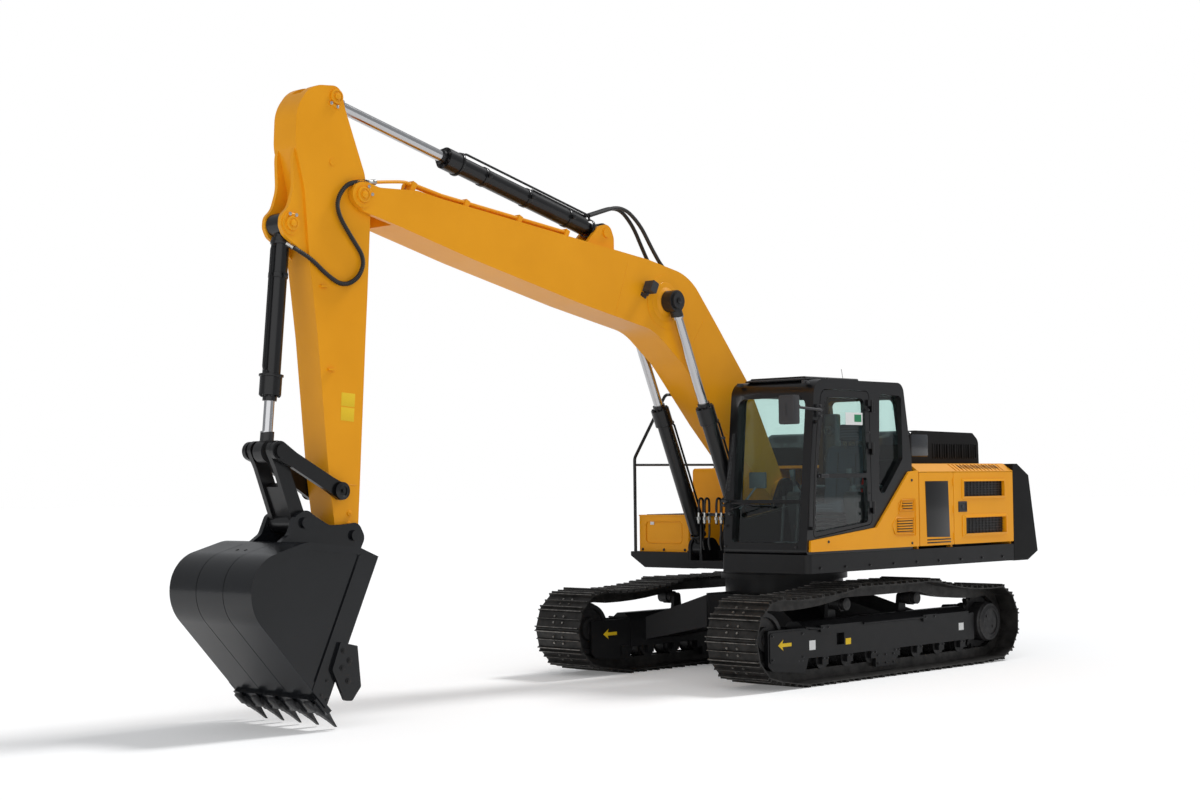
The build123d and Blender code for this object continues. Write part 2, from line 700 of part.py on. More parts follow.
def operator_seat():
    """Cushion, back and head rest on a suspension base."""
    y = 800.0
    base = block(-60, 420, y - 220, y + 220, cab_floor + cab_wall, 1562)
    cushion = slab([(-120, 1562, 20), (450, 1562, 60), (450, 1680, 60), (-120, 1650, 20)],
                   y - 260, y + 260)
    back = slab([(-110, 1640, 20), (20, 1640, 30), (-60, 2300, 60), (-190, 2290, 60)],
                y - 250, y + 250)
    head = slab([(-175, 2320, 30), (-70, 2330, 30), (-90, 2520, 40), (-190, 2510, 40)],
                y - 140, y + 140)
    stem = block(-140, -110, y - 40, y + 40, 2250, 2360)
    return base + cushion + back + head + stem


def cab_consoles():
    """Two side consoles with their levers, and the travel pedals."""
    pieces = []
    for side in (-1, 1):
        y = 800 + side * 355
        box = slab([(-160, cab_floor + cab_wall, 0), (330, cab_floor + cab_wall, 0),
                    (430, 1830, 60), (-160, 1760, 60)], y - 70, y + 70)
        lever = rod_between((330, y, 1780), (390, y, 1960), 16)
        knob = Pos(398, y, 1985) * Cylinder(28, 90)
        pieces.append(box + lever + knob)
    for side in (-1, 1):
        y = 800 + side * 90
        pedal = block(860, 1010, y - 55, y + 55, cab_floor + cab_wall, 1330)
        pieces.append(pedal + rod_between((930, y, 1320), (880, y, 1780), 14))
    return together(*pieces)


# ---- body panels --------------------------------------------------------
def left_front_cover():
    """Wedge-shaped cover beside the cab, with a louvred field."""
    rows = [(1300, panel_bottom, 6), (1292, 1362, 12), (232, 1462, 30), (-340, 2012, 60),
            (panel_front + 8, 2024, 8), (panel_front + 8, panel_bottom, 6)]
    cover = slab(rows, cab_outer_side, body_left)
    field = [(-60, 1395, 20), (-30, 1470, 20), (-120, 1560, 20), (-120, 1700, 20),
             (-230, 1740, 20), (-440, 1740, 20), (-440, 1365, 20), (-90, 1365, 20)]
    cover = cover - slab(field, body_left - 7, body_left + 5)
    for i in range(7):
        z = 1405 + 46 * i
        cover = cover + block(-405, -150, body_left - 8, body_left - 1, z, z + 16)
    return cover


def side_door(x_rear, x_front, side, openings):
    """Upright door of the engine bay, with framed openings."""
    y = body_left if side > 0 else -body_right
    rows = [(x_rear, panel_bottom, 12), (x_front, panel_bottom, 12), (x_front, side_top - 4, 12),
            (x_rear, side_top - 4, 12)]
    leaf = slab(rows, y - 36, y)
    for x_low, x_high, z_low, z_high in openings:
        frame = slab([(x_low - 26, z_low - 26, 14), (x_high + 26, z_low - 26, 14),
                      (x_high + 26, z_high + 26, 14), (x_low - 26, z_high + 26, 14)], y - 6, y + 7)
        leaf = leaf + frame
        leaf = leaf - slab([(x_low, z_low, 10), (x_high, z_low, 10), (x_high, z_high, 10),
                            (x_low, z_high, 10)], y - 60, y + 30)
    if side < 0:
        leaf = mirrored(leaf)
    return leaf


def grilles():
    """Mesh plates behind the radiator door's openings."""
    panes = []
    for z_low, z_high in ((1740, 1915), (1345, 1530)):
        panes.append(block(-2125, -1295, body_left - 46, body_left - 36, z_low - 20, z_high + 20))
    return together(*panes)


def house_frame():
    """Fixed sheets round the engine bay: top, bevels, bulkheads and the pillar posts."""
    left, right = body_left, body_right
    rear, front = deck_rear + 6, panel_front
    roof = [(left, side_top, 0), (left, side_top + 6, 0), (hood_edge, hood_top, 30),
            (-hood_edge, hood_top, 30), (right, side_top + 6, 0), (right, side_top, 0),
            (right + 34, side_top, 0), (-hood_edge + 12, hood_top - 30, 0),
            (hood_edge - 12, hood_top - 30, 0), (left - 34, side_top, 0)]
    shell = section(roof, rear, front)
    shell = shell - block(-2215, -945, -930, 930, hood_top - 60, hood_top + 20)
    shell = shell - block(-606, 0, body_right - 10, tank_left + 10, 1900, 2200)
    shell = shell - block(hydraulic_rear - 6, -605, body_right - 60, -975, 1900, 2200)
    for i in range(14):
        x = -2110 + 70 * i
        slot = Pos(x, (left + hood_edge) / 2, (side_top + hood_top) / 2) * (
            Rot(37, 0, 0) * Box(26, 90, 120))
        shell = shell - slot
    posts = [block(front - 30, front, 420, left - 36 - seat_gap, deck_top, side_top + 10),
             block(rear, rear + 24, right + 36 + seat_gap, left - 36 - seat_gap, deck_top,
                   side_top + 10)]
    for post in posts:
        shell = shell + post
    pillar = block(panel_split - 16, panel_split + 16, left - 90, left - 36 - seat_gap, deck_top,
                   side_top + 20)
    return shell + pillar


def engine_hood():
    """Raised louvred lid over the engine."""
    base = hood_top + seat_gap
    rows = [(-2240, base, 0), (-2232, 2350, 90), (-2120, 2430, 60), (-1020, 2446, 80),
            (-930, 2400, 60), (-915, base, 0)]
    lid = slab(rows, -955, 955)
    inner = slab([(-2214, hood_top - 10, 0), (-2206, 2340, 80), (-2105, 2404, 50),
                  (-1030, 2420, 70), (-957, 2385, 50), (-941, hood_top - 10, 0)], -929, 929)
    lid = lid - inner
    for i in range(12):
        x = -2185 + 68 * i
        for side in (-1, 1):
            lid = lid - block(x, x + 34, side * 942 - 30, side * 942 + 30, 2160, 2300)
    return lid


def fuel_tank():
    return slab([(-600, deck_top, 0), (tank_front, deck_top, 0), (tank_front, tank_top, 40),
                 (-600, tank_top, 40)], body_right + 4, tank_left) - block(
        -360, -240, -1100, -980, tank_top - 12, tank_top + 5)


def hydraulic_tank():
    """Its right side is the body's outer wall, and the roof covers its left half."""
    top = hood_top - 44
    right = body_right + 4
    return section([(right, deck_top, 0), (-560, deck_top, 0), (-560, top, 0), (right + 70, top, 30),
                    (right, top - 110, 30)], hydraulic_rear, -606)


def toolbox():
    """Open-topped box in front of the tank, stepped as a way up."""
    box = block(tank_front + 3, toolbox_front, body_right, toolbox_left, right_deck_top,
                toolbox_top - 13 - seat_gap)
    box = box - block(tank_front + 30, toolbox_front - 26, body_right + 26, toolbox_left - 26,
                      1235, toolbox_top + 20)
    panel = section([(body_right + 90, 1290, 40), (toolbox_left - 90, 1290, 40),
                     (toolbox_left - 90, 1520, 40), (body_right + 90, 1520, 40)],
                    toolbox_front - 7, toolbox_front + 10)
    return box - panel


def toolbox_lid():
    return block(tank_front + 8, toolbox_front + 6, body_right - 4, toolbox_left + 4,
                 toolbox_top - 13, toolbox_top)


def handrails():
    """Climbing rail over the toolbox and tank, and its middle bar."""
    r, y = 17.0, -1352.0
    front = tube([(780, y - 24, 1205), (780, y - 24, 2190), (273, y - 24, 2880),
                  (-540, y - 24, 2880), (-540, y - 24, 1950)], [90, 90, 110], r)
    middle = tube([(780, y - 24, 2118), (-540, y - 24, 2118)], [], 13)
    foot = block(-575, -505, y - 42, body_right + 4, 1950, 2010)
    out = cab_outer_side + 38
    grab = tube([(1262, out, 1460), (1226, out, 1990), (1168, out, 2510)], [400], grab_tube)
    for x, z in ((1261, 1480), (1170, 2490)):
        grab = grab + block(x - 16, x + 16, cab_outer_side, out + 6, z - 16, z + 16)
    return together(front + middle + foot, grab)


def mirror_left():
    """Mirror housing on a bent arm at the cab's left front pillar."""
    x, y, z = mirror_centre
    wide, long_, tall = mirror_size
    arm_ = tube([(1140, cab_outer_side + 14, z), (1140, cab_outer_side + 70, z),
                 (x, y + 40, z + 30)], [30], 13)
    foot = block(1118, 1158, cab_outer_side, cab_outer_side + 22, z - 50, z + 60)
    case = plan([(x - wide / 2, y - long_ / 2, 20), (x + wide / 2, y - long_ / 2, 40),
                 (x + wide / 2, y + long_ / 2, 40), (x - wide / 2, y + long_ / 2, 20)],
                z - tall / 2, z + tall / 2)
    return arm_ + foot + case


def engine_block():
    return block(-2080, -960, -380, 380, deck_top, 2040)


def radiator():
    return block(-2080, -1300, 1000, 1180, deck_top, 1980)


# ---- boom ---------------------------------------------------------------
def cylinder_axis(base, pin, length):
    """Point at a length from the base towards the pin."""
    dx, dz = pin[0] - base[0], pin[1] - base[1]
    share = length / hypot(dx, dz)
    return (base[0] + dx * share, base[1] + dz * share)


def boom():
    """Curved box beam with a foot boss, the cylinder bosses and a forked nose."""
    rows = [(-60, -135, 100), (300, -55, 300), (1150, 235, 400), (1900, 535, 500),
            (2400, 640, 600), (3400, 400, 900), (4750, 118, 600), (5620, -40, 300),
            (6010, -118, 80), (6195, -85, 110), (6190, 110, 110), (5945, 150, 200),
            (5560, 345, 180), (5300, 418, 200), (3767, 906, 900), (2750, 1230, 400),
            (2150, 1375, 600), (1560, 1110, 500), (900, 800, 700), (60, 190, 300),
            (-125, 70, 100)]
    half = boom_width / 2
    beam = slab(on_boom(rows), boom_side - half, boom_side + half)
    # slot for the arm between the nose's cheeks
    gap = arm_width / 2 + side_gap
    slot = [(5640, -260, 0), (6400, -260, 0), (6400, 500, 0), (5740, 500, 0)]
    beam = beam - slab(on_boom(slot), boom_side - gap, boom_side + gap)
    beam = beam + cross_pin(boom_foot, 128, boom_side - 252 + side_gap, boom_side + 252 - side_gap)
    beam = beam - cross_pin(boom_foot, 55 + seat_gap, boom_side - 300, boom_side + 300)
    for side in (-1, 1):
        face = boom_side + side * half
        nose_boss = frame_point(boom_foot, boom_angle, boom_length, 0)
        beam = beam + cross_pin(nose_boss, 108, *sorted((face - side * 30, face + side * 12)))
        px, pz = frame_point(boom_foot, boom_angle, *boom_cylinder_pin)
        reach = boom_cylinder_offset - 58 - side_gap - half
        flare = [(face - side * 2, 196), (face + side * 6, 190), (face + side * 14, 140),
                 (face + side * reach, 108)]
        beam = beam + turned([(y - face, r) for y, r in flare], face, px, pz)
        beam = beam + cross_pin((px, pz), 262, *sorted((face - side * 2, face + side * 4)))
    nose = cross_pin(boom_tip, 62, boom_side - half - 30, boom_side + half + 30)
    beam = beam + nose
    base = frame_point(boom_foot, boom_angle, *arm_cylinder_base)
    for side in (-1, 1):
        low, high = sorted((boom_side + side * 68, boom_side + side * 104))
        lug = slab(on_boom([(3060, 1000, 0), (3520, 900, 0), (3400, 1240, 90), (3284, 1340, 90),
                            (3170, 1240, 90)]), low, high)
        beam = beam + lug
    beam = beam + cross_pin(base, pin_radius, boom_side - 118, boom_side + 118)
    return beam + boom_pipes()


# pipe along the boom's back: along and above the chord, and where its clamps stand
pipe_rows = [(5650, 368), (5560, 402), (5280, 470), (3767, 952)]
pipe_bends = [200, 200]
clamp_rows = [(5598, 388), (5000, 559), (4380, 757), (3800, 941)]


def boom_pipes():
    """Two steel pipes on clamp blocks, from the nose to the arm cylinder."""
    pipes = None
    for offset_y in (150, 100):
        y = boom_side + offset_y
        points = [frame_point(boom_foot, boom_angle, u, v) for u, v in pipe_rows]
        line = tube([(x, y, z) for x, z in points], pipe_bends, boom_pipe)
        pipes = line if pipes is None else pipes + line
    for u, v in clamp_rows:
        base_block = slab(on_boom([(u - 25, v - 110, 0), (u + 25, v - 110, 0), (u + 25, v + 22, 0),
                                   (u - 25, v + 22, 0)]), boom_side + 76, boom_side + 174)
        pipes = pipes + base_block
    return pipes


def work_lamp():
    """Square lamp on a bracket at the boom's left side."""
    u, v = lamp_place
    face = boom_side + boom_width / 2
    foot = slab(on_boom([(u - 60, v - 90, 8), (u + 20, v - 90, 8), (u + 20, v - 50, 8),
                         (u - 60, v - 50, 8)]), face, face + 8)
    arm_ = slab(on_boom([(u - 20, v - 84, 4), (u + 10, v - 84, 4), (u + 10, v - 56, 4),
                         (u - 20, v - 56, 4)]), face + 7, face + 70)
    stem = slab(on_boom([(u - 20, v - 84, 4), (u + 10, v - 84, 4), (u + 10, v, 4),
                         (u - 20, v, 4)]), face + 58, face + 70)
    head = slab(on_boom([(u - 45, v - 55, 14), (u + 40, v - 55, 8), (u + 40, v + 55, 8),
                         (u - 45, v + 55, 14)]), face + 30, face + 140)
    return foot + arm_ + stem + head


def barrel(base, pin, y, length, radius, rod_radius, eye_half, bore_start):
    """Cylinder tube with its base eye, head end and bore."""
    end = cylinder_axis(base, pin, length)
    collar = cylinder_axis(base, pin, length - 150)
    start = cylinder_axis(base, pin, bore_start - 25)
    tube_ = rod_between((start[0], y, start[1]), (end[0], y, end[1]), radius)
    head = rod_between((collar[0], y, collar[1]), (end[0], y, end[1]), radius + 16)
    wiper = cylinder_axis(base, pin, length + 45)
    head = head + rod_between((end[0], y, end[1]), (wiper[0], y, wiper[1]), rod_radius + 16)
    eye = cross_pin(base, eye_radius - 8, y - eye_half, y + eye_half)
    neck = rod_between((base[0], y, base[1]), (start[0], y, start[1]),
                       min(radius * 0.8, eye_half))
    body = tube_ + head + eye + neck
    bore = cylinder_axis(base, pin, bore_start)
    past = cylinder_axis(base, pin, length + 80)
    body = body - rod_between((bore[0], y, bore[1]), (past[0], y, past[1]), rod_radius + seat_gap)
    return body - cross_pin(base, pin_radius + seat_gap, y - 300, y + 300)


def rod(base, pin, y, inner_end, rod_radius, eye_half, eye):
    """Piston rod with its eye."""
    span = hypot(pin[0] - base[0], pin[1] - base[1])
    tail = cylinder_axis(base, pin, inner_end)
    neck = cylinder_axis(base, pin, span - eye - 70)
    body = rod_between((tail[0], y, tail[1]), (pin[0], y, pin[1]), rod_radius)
    collar = rod_between((neck[0], y, neck[1]), (pin[0], y, pin[1]), rod_radius + 14)
    return body + collar + cross_pin(pin, eye, y - eye_half, y + eye_half)


boom_rod_pin = frame_point(boom_foot, boom_angle, *boom_cylinder_pin)
arm_rod_base = frame_point(boom_foot, boom_angle, *arm_cylinder_base)
arm_rod_pin = frame_point(boom_tip, arm_angle, *arm_cylinder_pin)
bucket_rod_base = frame_point(boom_tip, arm_angle, *bucket_cylinder_base)
link_pivot = frame_point(boom_tip, arm_angle, *link_pin)
bucket_link_foot = frame_point(arm_tip, bucket_angle, bucket_crank, 0)


def meeting_pin():
    """Where the side links, the bucket link and the bucket rod's eye meet."""
    ax, az = link_pivot
    bx, bz = bucket_link_foot
    span = hypot(bx - ax, bz - az)
    along = (side_link_length ** 2 - bucket_link_length ** 2 + span ** 2) / (2 * span)
    across = (side_link_length ** 2 - along ** 2) ** 0.5
    ux, uz = (bx - ax) / span, (bz - az) / span
    return (ax + along * ux - across * uz, az + along * uz + across * ux)


bucket_rod_pin = meeting_pin()


def boom_barrels():
    return together(*[barrel(boom_cylinder_foot, boom_rod_pin,
                             boom_side + side * boom_cylinder_offset, boom_barrel_length,
                             boom_barrel_radius, boom_rod_radius, 60 - side_gap, 215)
                      for side in (-1, 1)])


def boom_rods():
    pieces = []
    for side in (-1, 1):
        y = boom_side + side * boom_cylinder_offset
        body = rod(boom_cylinder_foot, boom_rod_pin, y, boom_rod_tail, boom_rod_radius, 58, 105)
        cap = cross_pin(boom_rod_pin, 80, *sorted((y + side * 50, y + side * 82)))
        pieces.append(body + cap)
    return together(*pieces)


def arm_barrel():
    return barrel(arm_rod_base, arm_rod_pin, boom_side, arm_barrel_length, arm_barrel_radius,
                  arm_rod_radius, 60, 260)


def arm_rod():
    return rod(arm_rod_base, arm_rod_pin, boom_side, arm_rod_tail, arm_rod_radius, 52, 98)


def bucket_barrel():
    return barrel(bucket_rod_base, bucket_rod_pin, boom_side, bucket_barrel_length,
                  bucket_barrel_radius, bucket_rod_radius, 80, 135)


def bucket_rod():
    return rod(bucket_rod_base, bucket_rod_pin, boom_side, bucket_rod_tail,
               bucket_rod_radius, 56, 92)


# ---- arm ----------------------------------------------------------------
def arm():
    """Tapered box with a curved upper lobe, rod lugs and bucket-cylinder ears."""
    rows = [(-870, 360, 95), (-850, 520, 260), (-640, 662, 320), (-330, 664, 400),
            (20, 560, 500), (640, 482, 500), (1214, 384, 600), (arm_length - 496, 232, 600),
            (arm_length - 45, 150, 60), (arm_length + 125, 60, 90), (arm_length + 125, -75, 90),
            (arm_length - 45, -90, 60), (1167, -118, 600), (826, -126, 300), (166, -136, 260), (-192, -62, 200),
            (-700, 160, 90), (-890, 220, 95)]
    half = arm_width / 2
    beam = slab(on_arm(rows), boom_side - half, boom_side + half)
    slot = [(-1100, -300, 0), (-520, -300, 0), (-520, 500, 60), (-700, 560, 60), (-1100, 560, 0)]
    beam = beam - slab(on_arm(slot), boom_side - 64, boom_side + 64)
    for side in (-1, 1):
        low, high = sorted((boom_side + side * 88, boom_side + side * 126))
        ear = slab(on_arm([(-470, 600, 0), (620, 430, 0), (500, 600, 160), (425, 735, 95),
                           (350, 775, 95), (262, 770, 95), (190, 700, 160), (20, 652, 300),
                           (-260, 672, 300)]), low, high)
        collar = cross_pin(bucket_rod_base, 92, *sorted((boom_side + side * 88,
                                                         boom_side + side * 134)))
        beam = beam + ear + collar
        outer_side = boom_side + side * half
        for u, v in cleat_places:
            cleat = slab(on_arm([(u - 9, v - 32, 4), (u + 9, v - 32, 4), (u + 9, v + 32, 4),
                                 (u - 9, v + 32, 4)]), *sorted((outer_side - side * 5,
                                                                outer_side + side * 24)))
            beam = beam + cleat
        boss_point = frame_point(boom_tip, arm_angle, *hose_boss_place)
        beam = beam + cross_pin(boss_point, 30, *sorted((outer_side - side * 5,
                                                         outer_side + side * 5)))
    beam = beam + cross_pin(bucket_rod_base, pin_radius, boom_side - 142, boom_side + 142)
    beam = beam - cross_pin(boom_tip, 62 + seat_gap, boom_side - 300, boom_side + 300)
    tip_boss = cross_pin(arm_tip, 95, boom_side - ear_inner + side_gap,
                         boom_side + ear_inner - side_gap)
    beam = beam + tip_boss - cross_pin(arm_tip, pin_radius + seat_gap, boom_side - 300,
                                       boom_side + 300)
    return beam + cross_pin(link_pivot, pin_radius, boom_side - half - 62, boom_side + half + 62)


def side_links():
    """Pair of waisted links beside the arm."""
    pieces = []
    ax, az = link_pivot
    px, pz = bucket_rod_pin
    angle = degrees(atan2(pz - az, px - ax))
    length = hypot(px - ax, pz - az)
    rows = [(-80, 75, 78), (120, 62, 60), (length - 140, 62, 60), (length + 90, 85, 88),
            (length + 90, -85, 88), (length - 140, -62, 60), (120, -62, 60), (-80, -75, 78)]
    placed = [frame_point(link_pivot, angle, u, v) + (r,) for u, v, r in rows]
    for side in (-1, 1):
        inner = arm_width / 2 + side_gap + 8
        low, high = sorted((boom_side + side * inner, boom_side + side * (inner + 42)))
        link = slab(placed, low, high)
        link = link - cross_pin(link_pivot, pin_radius + seat_gap, low - 50, high + 50)
        cap = cross_pin(bucket_rod_pin, 60, *sorted((boom_side + side * (inner + 30),
                                                     boom_side + side * (inner + 66))))
        pieces.append(link + cap)
    return together(*pieces)


def bucket_link():
    """H-shaped link from the bucket's rear pin to the meeting pin."""
    fx, fz = bucket_link_foot
    px, pz = bucket_rod_pin
    angle = degrees(atan2(pz - fz, px - fx))
    length = hypot(px - fx, pz - fz)
    rows = [(-88, 70, 80), (length - 120, 62, 40), (length + 88, 82, 84),
            (length + 88, -82, 84), (length - 120, -62, 40), (-88, -70, 80)]
    placed = [frame_point(bucket_link_foot, angle, u, v) + (r,) for u, v, r in rows]
    link = cross_pin(bucket_link_foot, 86, boom_side - ear_inner + side_gap,
                     boom_side + ear_inner - side_gap)
    for side in (-1, 1):
        low, high = sorted((boom_side + side * 102, boom_side + side * 150))
        link = link + slab(placed, low, high)
    web = [frame_point(bucket_link_foot, angle, u, v) + (0,)
           for u, v in ((20, 45), (330, 45), (330, -45), (20, -45))]
    link = link + slab(web, boom_side - 110, boom_side + 110)
    return link - cross_pin(bucket_link_foot, pin_radius + seat_gap, boom_side - 300,
                            boom_side + 300)


# ---- bucket -------------------------------------------------------------
bucket_rows = [(-8, -165, 0), (210, -128, 120), (720, -190, 300), (1165, -430, 330),
               (1165, -800, 380), (262, -1430, 0)]


lip_rows = [(330, -1345, 0), (375, -1385, 0), (222, -1478, 0), (190, -1440, 0)]


def bucket():
    """Wrapped shell between side plates, with ears, lip and side cutters."""
    low, high = boom_side - bucket_width / 2, boom_side + bucket_width / 2
    outer = slab(on_bucket(bucket_rows), low, high)
    placed = on_bucket(bucket_rows)
    face = rounded_face([(x, low + 30, z) for x, z, r in placed], [r for x, z, r in placed])
    hollow = extrude(offset(face, amount=-28, kind=Kind.ARC), amount=bucket_width - 60,
                     dir=(0, 1, 0))
    mouth = slab(on_bucket([(-300, -195, 0), (60, -190, 0), (300, -1380, 0), (-60, -1380, 0)]),
                 low + 30, high - 30)
    shell = outer - hollow - mouth
    for side in (-1, 1):
        a, b = sorted((boom_side + side * ear_inner, boom_side + side * (ear_inner + ear_plate)))
        ear = slab(on_bucket([(-70, -180, 0), (-118, 10, 80), (-20, 118, 80), (120, 70, 90),
                              (270, 30, 150), (430, 75, 60), (520, 112, 70), (620, 40, 70),
                              (650, -120, 60), (760, -235, 0), (210, -160, 0)]), a, b)
        shell = shell + ear
        side_y = boom_side + side * bucket_width / 2
        pin_low, pin_high = sorted((side_y + side * side_edge, side_y + side * (side_edge + 28)))
        rim = slab(placed, *sorted((side_y, side_y + side * heel_edge)))
        inner_face = offset(rounded_face([(x, low - 200, z) for x, z, r in placed],
                                         [r for x, z, r in placed]), amount=-62, kind=Kind.ARC)
        rim = rim - extrude(inner_face, amount=bucket_width + 400, dir=(0, 1, 0))
        strip = slab(on_bucket([(-8, -165, 0), (185, -185, 30), (425, -1318, 10), (262, -1430, 0)]),
                     *sorted((side_y, side_y + side * side_edge)))
        cutter = slab(on_bucket([(250, -905, 10), (75, -905, 10), (-30, -1215, 20),
                                 (35, -1340, 30), (110, -1350, 30), (285, -1130, 20)]),
                      pin_low, pin_high)
        shell = shell + rim + strip + cutter
    shell = shell + slab(on_bucket(lip_rows), low, high)
    groove = offset(rounded_face([(x, low - 200, z) for x, z, r in placed],
                                 [r for x, z, r in placed]), amount=-4, kind=Kind.ARC)
    core = extrude(groove, amount=bucket_width + 400, dir=(0, 1, 0))
    for share in (-1 / 6, 1 / 6):
        y = boom_side + share * bucket_width
        seam = slab(placed, y - seam_width / 2, y + seam_width / 2) - core
        keep_off = slab(on_bucket([(-100, -330, 0), (800, -330, 0), (800, 400, 0), (-100, 400, 0)]),
                        low - 10, high + 10)
        mouth_side = slab(on_bucket([(-200, -100, 0), (30, -100, 0), (300, -1500, 0),
                                     (-200, -1500, 0)]), low - 10, high + 10)
        shell = shell - (seam - keep_off - mouth_side)
    for at in ((0, 0), (bucket_crank, 0)):
        point = frame_point(arm_tip, bucket_angle, *at)
        reach = ear_inner + ear_plate + 28
        shell = shell + cross_pin(point, pin_radius, boom_side - reach, boom_side + reach)
    return shell


def tooth(y):
    """Adapter whose straps hold the lip, and its pointed tooth."""
    half, tip = tooth_width / 2, tooth_tip_width / 2
    holder = slab(on_bucket([(455, -1392, 4), (432, -1352, 4), (330, -1300, 4), (235, -1318, 30),
                             (140, -1425, 20), (112, -1500, 4), (165, -1540, 4), (205, -1528, 10)]),
                  y - half, y + half)
    sections = []
    # along and across the bucket's frame at the inner and outer corner, and half width
    for inner, outer, wide in (((140, -1428), (195, -1528), half - 6), ((48, -1548), (62, -1566), tip)):
        (ax, az), (bx, bz) = [frame_point(arm_tip, bucket_angle, *q) for q in (inner, outer)]
        ring = [(ax, y - wide, az), (ax, y + wide, az), (bx, y + wide, bz), (bx, y - wide, bz)]
        sections.append(Face(Wire(Polyline(*ring, close=True).edges())))
    point = loft(sections, ruled=True)
    cover = slab(on_bucket(bucket_rows), y - half - 9, y + half + 9)
    return holder + point - slab(on_bucket(lip_rows), y - half - 9, y + half + 9) - cover


def bucket_teeth():
    """Row of teeth along the lip."""
    first = -(tooth_count - 1) / 2
    return together(*[tooth(boom_side + (first + i) * tooth_spacing) for i in range(tooth_count)])


# ---- every node ---------------------------------------------------------
nodes = {
    "carbody": carbody,
    "track_frame_left": lambda: track_frame(1),
    "track_frame_right": lambda: track_frame(-1),
    "track_left": lambda: track(track_gauge / 2),
    "track_right": lambda: track(-track_gauge / 2),
    "idlers": lambda: together(idler(1), idler(-1)),
    "final_drives": lambda: together(sprocket_and_drive(1), sprocket_and_drive(-1)),
    "track_rollers": lambda: together(*[track_roller(s, x) for s in (-1, 1)
                                        for x in roller_places()]),
    "carrier_rollers": lambda: together(*[carrier_roller(s, x) for s in (-1, 1)
                                          for x in (carrier_roller_front, carrier_roller_rear)]),
    "revolving_frame": revolving_frame,
    "counterweight": counterweight,
    "cab_frame": cab_frame,
    "cab_glass": cab_glass,
    "cab_door": cab_door,
    "door_glass": door_glass,
    "operator_seat": operator_seat,
    "cab_consoles": cab_consoles,
    "left_front_cover": left_front_cover,
    "left_service_door": lambda: side_door(panel_split + 4, panel_front - 6, 1, []),
    "left_radiator_door": lambda: side_door(deck_rear + 10, panel_split - 4, 1,
                                            [(-2110, -1310, 1745, 1910),
                                             (-2110, -1310, 1350, 1525)]),
    "radiator_grilles": grilles,
    "right_pump_door": lambda: side_door(deck_rear + 10, -1190, -1, [(-2100, -1900, 1400, 1850)]),
    "house_frame": house_frame,
    "engine_hood": engine_hood,
    "engine_block": engine_block,
    "radiator": radiator,
    "fuel_tank": fuel_tank,
    "hydraulic_tank": hydraulic_tank,
    "toolbox": toolbox,
    "toolbox_lid": toolbox_lid,
    "handrails": handrails,
    "mirror_left": mirror_left,
    "work_lamp": work_lamp,
    "boom": boom,
    "boom_cylinder_barrels": boom_barrels,
    "boom_cylinder_rods": boom_rods,
    "arm_cylinder_barrel": arm_barrel,
    "arm_cylinder_rod": arm_rod,
    "arm": arm,
    "bucket_cylinder_barrel": bucket_barrel,
    "bucket_cylinder_rod": bucket_rod,
    "side_links": side_links,
    "bucket_link": bucket_link,
    "bucket": bucket,
    "bucket_teeth": bucket_teeth,
}

for node, make in nodes.items():
    write(make(), node)
